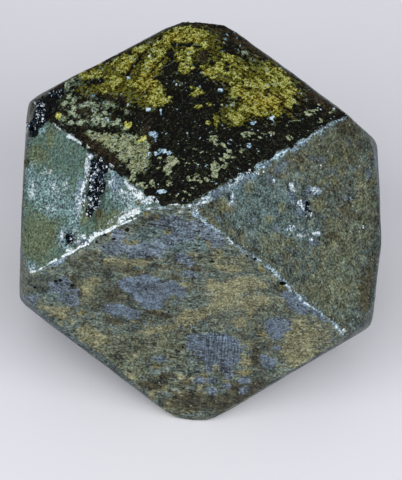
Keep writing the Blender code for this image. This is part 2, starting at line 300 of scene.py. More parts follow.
# Ridges where two shown faces meet: the same, then how white and how blue the rubbed metal is, both
# partly painted highlight
RIDGES = (
    ("lower strand",
     ((26, 274, 1.0), (42, 269, 0.9), (51, 263, 1.1), (65, 256, 1.4), (73, 252, 1.8),
      (91, 241, 1.4), (98, 235, 1.5), (107, 232, 1.7), (116, 227, 2.2), (124, 223.5, 1.2),
      (131, 221, 0.7), (138, 218, 0.3)),
     0.95, 0.4),
    ("upper strand",
     ((122, 217, 0.8), (130, 214, 1.6), (137, 213, 1.3), (144, 210.5, 1.9), (150, 208.8, 1.3)),
     0.95, 0.3),
    ("upper strand, end",
     ((150, 208.8, 1.2), (160, 208, 1.0), (172, 209, 0.8), (184, 207, 0.9), (194, 207, 1.4)),
     0.4, 0.7),
    ("left top ridge",
     ((52, 119, 0.8), (57, 126, 1.2), (63, 131, 1.4), (68, 136, 1.9), (76, 140, 2.1),
      (84, 144, 1.4), (92, 150, 1.4), (100, 152, 1.6), (106, 158, 2.2), (113, 165, 1.8),
      (122, 171, 1.8), (127, 184, 1.8), (132, 188, 2.4), (146, 197, 2.6), (158, 202, 2.2),
      (176, 205, 1.6), (190, 206, 1.8)),
     0.6, 0.7),
    ("right top ridge",
     ((196, 206, 1.6), (205, 199, 1.6), (212, 192, 2.0), (220, 188, 2.0), (228, 184, 1.6),
      (240, 177, 1.6), (248, 168, 2.4), (256, 164, 2.4), (262, 164, 2.6), (268, 161, 2.0),
      (284, 152, 1.6), (296, 148, 1.8), (300, 143, 2.0), (306, 139, 1.6), (318, 132, 1.4),
      (335, 122, 1.2), (346, 118, 1.2)),
     0.42, 0.9),
    ("front ridge",
     ((196, 208, 1.6), (201, 219, 1.6), (206, 224, 1.8), (213, 228, 1.6), (221, 232, 1.4),
      (226, 236, 1.4), (232, 243, 1.4), (240, 249, 1.4), (255, 258, 1.6), (264, 263, 1.4),
      (279, 277, 1.6), (300, 300, 1.8), (312, 307, 1.3), (330, 320, 1.0), (346, 338, 1.3)),
     0.45, 0.85),
)
# Pinholes, sunk and painted nearly black as painted shade: name, then the place of each in the picture
# with its half width and half height
PINHOLES = (
    ("left row", (57, 281, 2.0, 1.4), (61.5, 280, 1.6, 1.6), (73.5, 285.5, 2.0, 1.3),
     (36, 287, 1.6, 1.4)),
    ("below the white ridge", (128, 230, 2.2, 1.8), (115, 239, 2.2, 1.2), (106, 235, 2, 1.2),
     (98, 242, 1.4, 1.4), (104.5, 246.5, 1.2, 1.2)),
    ("between the strands", (132, 217.5, 1.2, 0.7), (123, 222, 1.2, 0.7)),
    ("slots in the middle", (212, 261.5, 3.0, 0.9), (217.5, 252.5, 1.1, 1.1)),
    ("on the front ridge", (254.5, 258.8, 2.0, 1.4), (246.7, 255.7, 1.4, 1.1), (282, 282.8, 3.4, 1.6)),
    ("in the field", (182.7, 346.7, 1.2, 1.4), (146.5, 288.7, 1.6, 0.9)),
    ("crack", (308, 203, 1.0, 3.0), (305, 208, 1.0, 4.0), (309, 212, 2.4, 1.4), (304, 214, 1.1, 2.0)),
    ("notch in the top ridge", (252, 171, 3.0, 2.0), (269, 156, 3.4, 1.2)),
    ("by the meeting point", (229, 197, 1.0, 4.5)),
    ("left edge", (26.5, 162, 1.8, 3.0)),
)

# What lies on the top face, in the same terms but without the face
CRUST = {
    "olive": (
        ("left arm", (160, 50, 10, 6, -30), (158, 56, 8, 8), (155, 66, 7, 9), (148, 72, 8, 9),
         (145, 82, 9, 8), (143, 91, 8, 6), (157, 92, 7, 8), (157, 101, 12, 7), (160, 106, 9, 3, -10)),
        ("left arm, outer", (120, 67, 9, 6), (126, 72, 8, 6), (117, 84, 6, 5), (115, 89, 5, 4),
         (128, 62, 7, 6), (139, 52, 8, 4, -20), (132, 88, 5, 4)),
        ("crest", (185, 34, 18, 5), (182, 41, 13, 5), (197, 37, 10, 6), (199, 45, 8, 4),
         (170, 40, 8, 7), (205, 49, 3, 3), (165, 45, 8, 5)),
        ("crest, inner", (188, 54, 8, 4), (180, 59, 4, 6), (188, 64, 5, 4), (182, 69, 4, 5),
         (185, 75, 6, 2.5), (190, 71, 5, 2)),
        ("crest, foot", (203, 70, 4, 2.5), (207, 75, 7, 4, 25), (212, 79, 6, 2.5, 15)),
        ("green grains", (194, 91, 4, 2, 20), (199, 95, 5, 3), (193, 97, 4, 2.5), (198, 110, 5, 2)),
        ("right shoulder", (226, 60, 9, 4), (218, 71, 6, 7), (232, 66, 7, 5), (240, 73, 9, 6),
         (229, 76, 8, 4), (236, 82, 6, 3)),
        ("right field", (268, 72, 9, 7), (276, 80, 11, 8), (285, 85, 6, 7), (243, 88, 15, 3, 8),
         (252, 85, 13, 5), (264, 88, 5, 5), (286, 94, 9, 6), (291, 103, 6, 4), (288, 108, 5, 3)),
        ("right field, foot", (236, 95, 7, 6), (262, 104, 20, 9), (250, 112, 9, 4, 20),
         (259, 117, 9, 3), (276, 115, 6, 4), (245, 98, 8, 5)),
        ("grains below", (235, 120, 9, 6), (238, 125, 5, 4), (243, 113, 5, 4)),
        ("hanging grain", (216, 123, 3, 8), (209, 107, 3, 1.6), (208, 126, 3, 2)),
        ("thin left field", (95, 77, 7, 5), (84, 76, 6, 3), (88, 80, 9, 3), (107, 84, 5, 4),
         (104, 94, 4, 3), (100, 66, 4, 2)),
    ),
    # Thin dark olive round and between the patches of it
    "veil": (
        ("left", (142, 76, 40, 26, -35), (108, 80, 32, 13, -25), (152, 98, 18, 14)),
        ("crest", (186, 46, 36, 18)),
        ("right", (228, 72, 28, 16, 20), (262, 90, 38, 28, 20), (236, 118, 16, 12)),
    ),
    "sage": (
        ("upper left flakes", (75, 83, 4, 4), (81, 86, 3, 3), (72, 101, 6, 5), (70, 105, 7, 4),
         (64, 107, 5, 2, -15)),
        ("left flakes", (68, 111, 5, 4), (76, 110, 4, 4), (73, 114, 6, 4), (76, 118, 3, 3),
         (84, 109, 5, 3, -25), (88, 107, 3, 3)),
        ("middle flakes", (93, 100, 3, 3), (94, 105, 4, 4), (95, 113, 4, 3), (101, 112, 3, 3),
         (108, 106, 4, 3), (114, 109, 4, 3), (107, 115, 6, 4), (97, 118, 5, 3)),
        ("long band", (90, 122, 8, 2.5, -12), (100, 123, 5, 5), (104, 127, 6, 3, 30),
         (110, 131, 5, 2, 20)),
        ("right flakes", (119, 123, 3, 4), (116, 128, 4, 3), (124, 130, 5, 4), (127, 115, 3, 3)),
        ("lower flakes", (72, 126, 4, 3, 30), (66, 124, 4, 1.6, 20), (82, 126, 5, 3), (92, 134, 6, 3)),
        ("teal grey grains", (107, 76, 4, 6, 30), (112, 79, 5, 2.5), (68, 88, 3, 7), (255, 62, 9, 4),
         (258, 70, 6, 6), (245, 55, 5, 2.5), (152, 45, 6, 2.5), (218, 80, 5, 2)),
    ),
    "moss": (
        ("smooth field", (107, 141, 15, 5), (115, 147, 15, 8, 20), (128, 155, 15, 11, 30),
         (138, 165, 12, 11, 20), (94, 137, 8, 4), (143, 152, 9, 14), (128, 142, 12, 7)),
    ),
    "pale": (
        ("by the blue grains", (171, 164, 7, 6), (168, 173, 5, 7, -10), (178, 165, 5, 2, 30),
         (169, 186, 4.2, 3.8), (159, 171, 3.4, 1.6), (160, 161, 3, 1.4)),
        ("pair", (189, 181, 3.4, 4), (196, 180, 4.6, 5, 30), (200, 184, 3, 1.8, 10),
         (206.5, 182, 3.6, 2.6, 30)),
        ("large", (215, 170, 6, 7), (225, 168, 5, 3.4, -25), (214, 178, 5, 4), (222, 162, 4, 3)),
        ("trail", (227, 157, 6, 4, -40), (232, 160, 4, 1.5), (223, 148, 5, 2, 35), (213, 141.5, 6, 4),
         (216, 147, 4, 2, 30)),
        ("round", (241, 153.5, 3.0, 2.8), (235, 154, 1.2, 1.2)),
        ("long", (247, 137.5, 9, 3.2, -5), (262, 137, 4, 1.6), (259, 140.6, 2.6, 1.8, 30),
         (271, 136, 3.6, 2, 10)),
        ("by the right ridge", (289.5, 140.5, 4.6, 3, 25), (293, 124, 6, 1.6, -5),
         (318, 123.5, 4, 3, 20), (331, 114.5, 4, 2.4)),
        ("right of the olive", (306, 116, 3.6, 3.6), (311, 113.6, 8, 1.5, -5), (311, 117, 8, 1.6),
         (318, 108, 3, 1.6, 40)),
        ("left of the ridge", (143, 187.6, 9, 3.6, 15), (153, 187, 3.4, 5, -30), (134, 178, 3.4, 6),
         (127, 182, 5, 2.4)),
        ("streaks at the meeting point", (186.5, 195, 6.4, 1.3, 30), (184, 201, 5, 1.2, 5),
         (171, 196, 3.4, 1.8), (176, 198, 3, 1.2, 20), (192, 190, 2, 1)),
        ("crumbs", (195, 152, 4, 1.4), (188, 166, 3, 1.1), (195, 166, 3, 1.1), (202, 155, 3, 1.1, -30),
         (184, 162, 2, 2), (232, 108, 4, 2.6), (221, 108.5, 2, 1)),
    ),
    "yellow": (
        ("by the broken corner", (59.5, 119, 3.2, 3.6)),
        ("beside the sage", (128.5, 128.5, 4.4, 3.6, -20)),
        ("beside the blue", (143, 142.5, 5.6, 2.8, -40)),
    ),
    "sky": (
        ("small blue", (155.5, 138, 3.8, 3.6), (151, 137, 2.6, 2)),
        ("blue pair", (163, 154, 4, 3), (156.5, 157, 3, 2), (169, 156, 3, 2)),
        ("metal and blue", (252, 126.5, 3, 2.2, -30), (271, 121, 3.6, 1.8, -50)),
        ("ring", (248.5, 148.5, 2.2, 3)),
        ("cyan glints", (129, 81, 2.4, 1.1, 10), (148, 113, 3, 1.4), (161, 115, 1.2, 3.4),
         (220, 94, 3, 1.8)),
        ("at the meeting point", (162, 194, 5, 2)),
    ),
    "glaze": (
        ("upper right edge", (262, 55, 50, 10, 37), (318, 100, 30, 11, 37), (240, 46, 14, 5, 30)),
        ("crest", (190, 27, 24, 4), (222, 37, 13, 8), (201, 58, 7, 8)),
        ("upper left edge", (95, 70, 70, 5, -27), (56, 87, 9, 7, -35)),
        ("round the moss", (100, 148, 34, 9, 38), (146, 140, 8, 20)),
        ("among the sage", (84, 114, 34, 14, 20), (120, 98, 22, 8)),
    ),
    # Where the olive turns golden brown
    "golden": (
        ("right field, foot", (266, 103, 22, 13, 10)),
        ("left arm", (149, 84, 9, 14, 15), (128, 70, 9, 6)),
        ("crest", (182, 40, 16, 5), (206, 75, 5, 3)),
    ),
    # Bare black between what has grown; along the left ridge it is painted shadow of the crust's edge
    "gaps": (
        ("above the moss", (100, 133, 7, 2.6), (110, 134, 9, 1.7), (117, 132, 5, 2.4)),
        ("along the left ridge", (67, 130, 7, 2, 40), (79, 135, 7, 2, 15), (88, 142, 6, 2.4, 45),
         (97, 148, 5, 3, 40), (107, 155, 6, 1.8, 45), (117, 165, 6, 1.8, 40)),
        ("among the sage", (86, 114.5, 6, 3.6, 15), (57, 107, 5, 4), (100, 102.5, 8, 2),
         (95, 85, 14, 2.5, -5), (121, 104, 4, 6)),
        ("beside the left arm", (134, 68, 2, 6, 40), (129, 76, 2, 4, 40)),
        ("crack in the left arm", (174, 48, 2.4, 3), (168, 56, 1.2, 5, 35), (161, 64, 1.1, 6, 48),
         (153, 73, 1.1, 6, 40)),
        ("under the crest", (186, 47.5, 7, 2.0), (196, 48.6, 4, 1.2), (172, 58, 2, 7)),
        ("centre", (171, 70, 6, 6), (167, 82, 8, 9), (195, 82, 10, 6), (203, 59, 4, 6)),
        ("holes in the right shoulder", (228, 67, 2, 2), (227, 73, 2, 1.6), (220, 60, 3, 1.4),
         (212, 66, 2.4, 3)),
    ),
}
# Where flakes of sage are strewn thinly
SAGE_FIELD = (
    ("left", (72, 107, 14, 12), (66, 122, 10, 6, 30)),
    ("middle", (104, 108, 16, 10), (98, 123, 26, 8, 8), (80, 84, 16, 8, -20)),
)
# Where the crust and the tarnish are broken off
BROKEN_CORNER = (
    ("corner", (41, 118, 8, 11, 32), (33, 131, 6, 7), (53, 108, 3, 10, 15), (44, 106, 8, 5, -20)),
    ("corner, upper", (56, 97, 12, 6, -34), (48, 99, 8, 4, -34)),
)
# Places in the picture between which the crust changes, in pixels: across, from the grain of
# its left to that of its right, and down, to where crumbs are strewn and where its rim frays
RIGHT_GRAIN = (185, 235)
CRUMBS_BELOW = (95, 140)
FRAYED_BELOW = (95, 125)

# Clusters of little cleavage blocks: name, middle and half size in the picture, how many, and
# the share of them painted near white as glints, a painted highlight. In the breaks and at the corner
# the others are dark.
BREAKS = (
    ("long break, head", 100, 167, 8, 9, 220, 0.3),
    ("long break, middle", 98, 183, 8, 14, 340, 0.3),
    ("long break, lower", 95, 200, 6, 11, 190, 0.34),
    ("long break, foot", 91, 212, 3.5, 5, 50, 0.3),
    ("small break", 71, 239, 3.5, 5.5, 70, 0.3),
    ("right break, crack", 306, 207, 1.6, 6, 30, 0.2),
)
GLINTS = (
    ("long break, rim", 88, 172, 2.0, 13, 120, 0.95),
    ("long break, rim, lower", 84.5, 196, 2.0, 13, 120, 0.95),
    ("long break, rim, foot", 80, 212, 1.8, 6, 36, 0.85),
    ("long break, head", 92, 157, 4, 3, 50, 0.8),
    ("small break, right", 84, 243, 8, 3, 60, 0.7),
    ("small break, left", 64, 240, 1.6, 5, 22, 0.6),
    ("broken corner, foot", 31, 128, 6, 7, 120, 0.42),
    ("broken corner", 42, 118, 7, 9, 130, 0.2),
    ("broken corner, blue", 41, 105, 6, 3, 60, 0.8),
    ("broken corner, upper", 58, 95, 9, 5, 90, 0.14),
    ("pinprick, corner", 26.5, 124.5, 1.2, 1.2, 9, 1.0),
    ("pinprick, corner right", 33.5, 124.3, 0.8, 0.8, 5, 1.0),
    ("right break, upper left", 290, 186, 2.6, 2.2, 32, 0.8),
    ("right break, left", 293, 198, 2.0, 7, 44, 0.7),
    ("right break, middle", 300, 205, 4.6, 4.6, 50, 0.75),
    ("right break, foot", 306, 214.5, 5.2, 2.6, 40, 0.8),
    ("right break, upper", 314, 191.5, 6.4, 3.4, 50, 0.7),
    ("low break", 315.5, 233.5, 3.4, 1.6, 18, 0.9),
    ("low break, foot", 311, 240, 2.6, 2, 14, 0.85),
    ("low break, left", 290, 228, 5, 3, 14, 0.7),
    ("far break", 351, 199, 2.4, 1.2, 10, 0.6),
    ("strip", 231, 200, 1.6, 6, 36, 0.9),
    ("meeting point", 196, 210, 1.8, 5, 34, 0.95),
    ("left of the meeting point", 150, 199, 6, 2.0, 36, 0.85),
    ("blue top ridge", 243, 172, 24, 4, 50, 0.5),
    ("top, blue and metal", 252, 126, 3.2, 2.2, 24, 0.85),
    ("pinprick", 362.4, 227, 1.4, 1.4, 9, 1.0),
    ("pinprick, upper", 359, 167, 1.2, 0.9, 6, 1.0),
    ("pinprick, middle", 288, 226, 0.9, 0.9, 4, 0.9),
    ("pinprick, left", 273, 182, 0.9, 1.6, 6, 0.8),
    ("pinprick, top", 320, 166, 0.9, 0.7, 4, 0.9),
)

# Films of tarnish, the blue and the rim partly painted sheen and shade, the lowest first: name,
# screen colour, the most that it covers, how ragged its rim is, and between which values of its
# mask it sets in. What changes from face to face is None here.
FILMS = (
    ("olive", None, None, 1.6, 0.25, 0.8),
    ("beige", (128, 126, 95), 0.78, 1.6, 0.2, 0.9),
    ("brown", (64, 59, 40), 0.8, 1.4, 0.25, 0.8),
    ("turquoise", (112, 137, 141), 0.8, 2.0, 0.2, 1.0),
    # The blue is dust and painted sheen
    ("blue", (112, 132, 150), 0.7, 2.0, 0.3, 0.9),
    ("teal", (82, 104, 106), 0.55, 1.4, 0.2, 0.8),
    ("shade", (50, 54, 46), 0.42, 1.2, 0.2, 0.9),
    ("lilac", (91, 103, 115), 0.85, 1.2, 0.2, 0.65),
    ("slate", (90, 103, 117), None, 0.6, 0.4, 0.54),
    # The rim is dark wear on the hidden edges and painted shade along the outline
    ("rim", (66, 77, 80), 0.8, 1.0, 0.3, 0.7),
    ("yellow", None, None, 1.8, 0.4, 0.9),
)
# What grows on the crust, from its gaps in painted shade to its crests in painted highlight: the level,
# the screen colour, the cover
GROWTH_TONES = {
    "bare": ((0.30, 3, 3, 2, 1), (0.48, 15, 16, 10, 1), (0.62, 34, 35, 22, 1),
             (0.76, 86, 92, 68, 1), (0.92, 160, 172, 156, 1)),
    "glaze": ((0.35, 12, 9, 4, 0), (0.50, 20, 15, 8, 0.8), (0.75, 40, 32, 20, 1),
              (0.95, 82, 74, 56, 1)),
    "green moss": ((0.28, 14, 16, 8, 0), (0.38, 28, 32, 16, 0.9), (0.54, 84, 95, 67, 1),
                   (0.70, 124, 137, 104, 1), (0.84, 158, 169, 138, 1), (1.0, 196, 204, 176, 1)),
    "brown moss": ((0.28, 12, 12, 5, 0), (0.40, 28, 29, 13, 0.9), (0.58, 78, 83, 50, 1),
                   (0.74, 112, 120, 82, 1), (0.88, 144, 152, 114, 1), (1.0, 182, 187, 150, 1)),
    "sage": ((0.32, 12, 14, 8, 0), (0.42, 30, 36, 22, 0.8), (0.56, 84, 98, 74, 1),
             (0.70, 126, 143, 113, 1), (0.84, 160, 175, 147, 1), (1.0, 202, 214, 190, 1)),
    "green olive": ((0.24, 12, 9, 2, 0), (0.36, 26, 22, 4, 0.8), (0.54, 66, 64, 13, 1),
                    (0.72, 98, 101, 28, 1), (0.88, 136, 141, 58, 1), (1.0, 190, 196, 124, 1)),
    "golden olive": ((0.24, 12, 8, 2, 0), (0.36, 30, 22, 2, 0.8), (0.54, 74, 60, 6, 1),
                     (0.72, 110, 98, 16, 1), (0.88, 144, 136, 36, 1), (1.0, 194, 190, 104, 1)),
    "pale": ((0.36, 20, 22, 12, 0), (0.48, 42, 47, 27, 0.9), (0.64, 94, 104, 74, 1),
             (0.80, 132, 142, 110, 1), (0.98, 184, 192, 162, 1)),
    "yellow": ((0.36, 30, 28, 4, 0), (0.48, 78, 76, 18, 1), (0.64, 136, 138, 44, 1),
               (0.80, 178, 180, 84, 1), (0.95, 214, 214, 140, 1)),
    "sky": ((0.36, 22, 30, 34, 0), (0.48, 60, 84, 96, 1), (0.64, 110, 146, 166, 1),
            (0.80, 160, 190, 206, 1), (0.95, 214, 230, 238, 1)),
}


def linear(red, green, blue):
    """A colour given in screen values from 0 to 255, as the shaders take it."""
    parts = []
    for value in (red, green, blue):
        share = value / 255
        parts.append(share / 12.92 if share <= 0.04045 else ((share + 0.055) / 1.055) ** 2.4)
    return tuple(parts)


def deselect_all():
    if bpy.context.object and bpy.context.object.mode != "OBJECT":
        bpy.ops.object.mode_set(mode="OBJECT")
    bpy.ops.object.select_all(action="DESELECT")


def make_active(piece):
    deselect_all()
    piece.select_set(True)
    bpy.context.view_layer.objects.active = piece


@contextmanager
def editing(piece, kind="VERT", action="DESELECT"):
    """Edit mode on one piece, with all or nothing selected at first."""
    make_active(piece)
    bpy.ops.object.mode_set(mode="EDIT")
    bpy.ops.mesh.select_mode(type=kind)
    bpy.ops.mesh.select_all(action=action)
    yield bmesh.from_edit_mesh(piece.data)
    bpy.ops.object.mode_set(mode="OBJECT")


def settle(piece):
    """The finished piece is parented to the body's empty."""
    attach(piece, BODY)


def rows_of(mesh, name):
    """A row of three for each vertex: its place, by the name co, or its normal."""
    values = np.empty(len(mesh.vertices) * 3)
    mesh.vertices.foreach_get(name, values)
    return values.reshape(-1, 3)


def write_places(mesh, places):
    """Move the vertices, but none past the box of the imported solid."""
    low, high = (np.array(corner) for corner in CAD_BOX)
    over = np.maximum(places[:, 2] - (high[2] - HEADROOM), 0.0)
    places[:, 2] -= over - HEADROOM * (1.0 - np.exp(-over / HEADROOM))
    mesh.vertices.foreach_set("co", np.clip(places, low, high).ravel())
    mesh.update()


def write_attribute(mesh, name, values):
    attribute = mesh.attributes.new(name, "FLOAT", "POINT")
    attribute.data.foreach_set("value", values.astype(np.float32))


def turned(across, up, turn):
    """The same places, measured along a direction at an angle and square to it."""
    along = across * math.cos(turn) + up * math.sin(turn)
    beside = up * math.cos(turn) - across * math.sin(turn)
    return along, beside


def from_heart(places):
    """Places in mm from the crystal's heart."""
    return places / MM - np.array(HEART)


def in_picture(places):
    """Where places in the frame are seen in the picture, in pixels across and down."""
    seen = from_heart(places)
    right, high = turned(seen[:, 0], seen @ np.array(VIEW_UP), PICTURE_TURN)
    x = PICTURE_HEART[0] + PIXELS_PER_MM * right
    y = PICTURE_HEART[1] - PIXELS_PER_MM * high
    return np.column_stack((x, y))


def on_sight_line(x, y):
    """The place at the heart's depth that is seen at a pixel of the picture."""
    right = (x - PICTURE_HEART[0]) / PIXELS_PER_MM
    high = (PICTURE_HEART[1] - y) / PIXELS_PER_MM
    across, up = turned(right, high, -PICTURE_TURN)
    return (HEART + Vector((across, 0.0, 0.0)) + VIEW_UP * up) * MM


def smooth_step(low, high, values):
    share = np.clip((values - low) / (high - low), 0.0, 1.0)
    return share * share * (3.0 - 2.0 * share)


def bell(values):
    """1 where the values are 0, falling off smoothly to both sides."""
    return np.exp(-(values**2))


def noise_at(places, breadth, seed, octaves=2):
    """Noise between about -1 and 1 whose waves are breadth mm wide."""
    offset = Vector((seed * 7.31, seed * 3.17, seed * 5.73))
    scaled = from_heart(places) / breadth
    return np.array([noise.fractal(Vector(row) + offset, 0.8, 2.1, octaves) for row in scaled])


def cells_at(places, breadth, seed):
    """Distance to the nearest of many points breadth mm apart, from 0 to about 1."""
    offset = Vector((seed * 2.17, seed * 9.1, seed * 4.3))
    scaled = from_heart(places) / breadth
    return np.array([noise.voronoi(Vector(row) + offset)[0][0] for row in scaled])


def heights_over_faces(places):
    """By face, how far each place is outside it, in mm. Inside is negative."""
    from_middle = from_heart(places)
    heights = {}
    for name, (direction, distance) in FACES.items():
        heights[name] = from_middle @ np.array(Vector(direction).normalized()) - distance
    return heights


def face_shares(places):
    """By face, its soft share of each place. Then how far, in mm, the next face is behind."""
    heights = heights_over_faces(places)
    second, best = np.sort(np.column_stack(list(heights.values())), axis=1)[:, -2:].T
    shares = {}
    for name, height in heights.items():
        rival = np.where(height >= best, second, best)
        shares[name] = smooth_step(-0.12, 0.12, height - rival)
    return shares, best - second


def share_on(shares, faces):
    """How far each place lies on one of several faces, from 0 to 1."""
    return np.clip(sum(shares[face] for face in faces), 0.0, 1.0)


def covered(seen, patches, wobble, edge=0.3, shares=None):
    """How far each place lies inside the patches, from 0 to 1, with uneven rims.

    Where the shares of the faces are given, each patch names the face that it stays on.
    """
    cover = np.zeros(len(seen))
    for _, *spots in patches:
        share = shares[spots.pop(0)] if shares else 1.0
        for x, y, half_wide, half_high, *degrees in spots:
            turn = math.radians(degrees[0]) if degrees else 0.0
            along, beside = turned(seen[:, 0] - x, seen[:, 1] - y, turn)
            away = np.hypot(along / half_wide, beside / half_high) + wobble
            inside = 1.0 - smooth_step(1.0 - edge, 1.0 + edge, away)
            cover = np.maximum(cover, inside * share)
    return cover


def pinhole_depth(seen):
    """1 in the middle of each pinhole, 0 outside them all."""
    depth = np.zeros(len(seen))
    for _, *holes in PINHOLES:
        for x, y, half_wide, half_high in holes:
            away = np.hypot((seen[:, 0] - x) / half_wide, (seen[:, 1] - y) / half_high)
            depth = np.maximum(depth, bell(away))
    return depth


def distance_to_line(seen, points):
    """Distance from each place to a line through points of the picture, in half widths."""
    nearest = np.full(len(seen), np.inf)
    for (x, y, first_width), (next_x, next_y, next_width) in zip(points, points[1:]):
        start = np.array((x, y), float)
        way = np.array((next_x, next_y), float) - start
        share = np.clip((seen - start) @ way / (way @ way), 0.0, 1.0)
        gap = seen - (start + share[:, None] * way)
        half_width = first_width + (next_width - first_width) * share
        nearest = np.minimum(nearest, np.hypot(gap[:, 0], gap[:, 1]) / half_width)
    return nearest


class Palette:
    """Builds one material from nodes, reading places and painted attributes of the piece."""

    def __init__(self, name):
        self.material = bpy.data.materials.new(name)
        self.material.use_nodes = True
        self.tree = self.material.node_tree
        self.place = self.add("TexCoord", {}).outputs["Object"]

    def feed(self, socket, value):
        """Link a node's output to a socket, or set a plain value on it."""
        if isinstance(value, bpy.types.NodeSocket):
            self.tree.links.new(value, socket)
        elif isinstance(value, tuple) and socket.type == "RGBA":
            socket.default_value = (*value, 1.0)
        else:
            socket.default_value = value

    def add(self, kind, inputs, **settings):
        node = self.tree.nodes.new("ShaderNode" + kind)
        for name, value in settings.items():
            setattr(node, name, value)
        for name, value in inputs.items():
            self.feed(node.inputs[name], value)
        return node

    def finish(self, inputs):
        """Feed the shader, and give the material."""
        for name, value in inputs.items():
            self.feed(self.tree.nodes["Principled BSDF"].inputs[name], value)
        return self.material

    def painted(self, name):
        """What is painted on the piece under this name."""
        return self.add("Attribute", {}, attribute_name=name).outputs["Fac"]

    def stretched(self, scale, turn=0.0):
        """Places scaled, then turned about X, for grain that is drawn out one way."""
        inputs = {"Vector": self.place, "Rotation": (turn, 0.0, 0.0), "Scale": scale}
        return self.add("Mapping", inputs).outputs["Vector"]

    def grain(self, millimetres, detail=2.0, roughness=0.5, place=None):
        """Noise around 0.5 whose waves are that many millimetres wide."""
        inputs = {
            "Vector": place or self.place, "Scale": 1.0 / (millimetres * MM),
            "Detail": detail, "Roughness": roughness,
        }
        return self.add("TexNoise", inputs).outputs["Fac"]

    def specks(self, millimetres, size, rarity):
        """Round specks of the given size in mm, on the given share of many random points."""
        inputs = {"Vector": self.place, "Scale": 1.0 / (millimetres * MM)}
        points = self.add("TexVoronoi", inputs).outputs
        pick = self.add("SeparateColor", {"Color": points["Color"]}).outputs["Red"]
        reach = size / millimetres
        near = self.range(points["Distance"], reach, reach * 0.5)
        return self.times(near, self.range(pick, rarity + 0.02, rarity - 0.02))

    def maths(self, operation, *values):
        inputs = dict(enumerate(values))
        return self.add("Math", inputs, operation=operation).outputs[0]

    def times(self, first, second):
        return self.maths("MULTIPLY", first, second)

    def total(self, *parts):
        """The sum of values, each times its weight."""
        summed = 0.0
        for value, weight in parts:
            summed = self.maths("MULTIPLY_ADD", value, weight, summed)
        return summed

    def range(self, value, low, high, new_low=0.0, new_high=1.0):
        """The smooth step that a value makes between low and high."""
        inputs = {
            "Value": value, "From Min": low, "From Max": high, "To Min": new_low, "To Max": new_high,
        }
        return self.add("MapRange", inputs, interpolation_type="SMOOTHSTEP").outputs["Result"]

    def mix(self, share, first, second, blend="MIX", kind="RGBA"):
        inputs = {"Factor": share, "A": first, "B": second}
        return self.add("Mix", inputs, data_type=kind, blend_type=blend).outputs["Result"]

    def mix_values(self, share, first, second):
        return self.mix(share, first, second, kind="FLOAT")

    def ragged(self, name, grain, amount=0.8, low=0.35, high=0.65):
        """A painted mask whose rim is broken up by a grain."""
        mask = self.total((self.painted(name), 1.0), (grain, amount), (1.0, -0.5 * amount))
        return self.range(mask, low, high)

    def ramp(self, base, level, stops):
        """Over the base, the colour that the level has on a ramp, and its cover there."""
        node = self.add("ValToRGB", {"Fac": level})
        elements = node.color_ramp.elements
        while len(elements) < len(stops):
            elements.new(0.5)
        for element, (position, red, green, blue, cover) in zip(elements, stops):
            element.position = position
            element.color = (*linear(red, green, blue), cover)
        return self.mix(node.outputs["Alpha"], base, node.outputs["Color"])

    def bumps(self, *layers):
        """The normal over layers of bumps, each a height from 0 to 1 and its depth in mm."""
        inputs = {}
        for height, millimetres in layers:
            inputs.update({"Height": height, "Distance": millimetres * MM})
            inputs["Normal"] = self.add("Bump", inputs).outputs["Normal"]
        return inputs["Normal"]


def metal_grains(nodes):
    """The noises that the tarnish is mixed from, and the left and right face."""
    return SimpleNamespace(
        fine=nodes.grain(0.15, 1.0, 0.6),
        grit=nodes.grain(0.3, 2.0, 0.6, nodes.stretched((0.85, 1.0, 1.0))),
        mottle=nodes.grain(0.6, 3.0, 0.6, nodes.stretched((0.8, 1.0, 1.0))),
        clouds=nodes.grain(1.4, 3.0, 0.6),
        rim=nodes.grain(0.34, 6.0, 0.8),
        hue=nodes.grain(0.6, 3.0, 0.55),
        broad=nodes.grain(1.9, 4.0, 0.6),
        streaks=nodes.grain(0.3, 3.0, 0.65, nodes.stretched((1.0, 1.0, 0.45), UPRIGHT_TURN)),
        on_left=nodes.painted("left_face"),
        on_right=nodes.painted("right_face"),
    )


def metal_unevenness(nodes, grain):
    """How much lighter or darker than its patch each grain is, as a share."""
    grained = nodes.mix_values(grain.on_right, grain.grit, grain.streaks)
    drift = nodes.mix_values(grain.on_right, grain.clouds, 0.5)
    uneven = nodes.total(
        (grain.fine, 2.1), (grained, 1.25), (grain.mottle, 1.1), (grain.clouds, 0.6), (drift, 0.5),
        (1.0, -2.775),
    )
    calm = nodes.total(
        (grain.fine, 2.6), (grain.grit, 0.9), (grain.mottle, 0.5), (grain.clouds, 0.4), (1.0, -2.2),
    )
    return nodes.mix_values(grain.on_left, uneven, calm)


def metal_gain(nodes, grain, uneven):
    """How much light each grain gives back, against the colour of its patch, with painted light and
    shade by face.
    """
    depth = nodes.mix_values(grain.on_left, 1.12, 0.7)
    for name, depth_there in (("turquoise", 1.1), ("beige", 0.9), ("slate", 0.85)):
        depth = nodes.mix_values(nodes.painted(name), depth, depth_there)
    gain = nodes.maths("MAXIMUM", nodes.maths("ADD", nodes.times(uneven, depth), 1.0), 0.0)
    gain = nodes.maths("MINIMUM", nodes.maths("POWER", gain, 1.8), 3.0)
    upright = nodes.grain(0.12, 2.0, 0.5, nodes.stretched((1.0, 1.0, 0.06)))
    level = nodes.grain(0.14, 2.0, 0.5, nodes.stretched((0.12, 1.0, 1.0)))
    scratches = nodes.range(nodes.total((upright, 0.6), (level, 0.4)), 0.4, 0.6, 0.36, 1.25)
    scratches = nodes.mix_values(nodes.ragged("scratched", grain.rim, 1.2), 1.0, scratches)
    # Painted light and shade by face: the left face lighter than the front and the right
    painted_face_light = nodes.mix_values(grain.on_right, nodes.mix_values(grain.on_left, 0.925, 1.02), 0.94)
    return nodes.times(nodes.times(gain, scratches), painted_face_light)


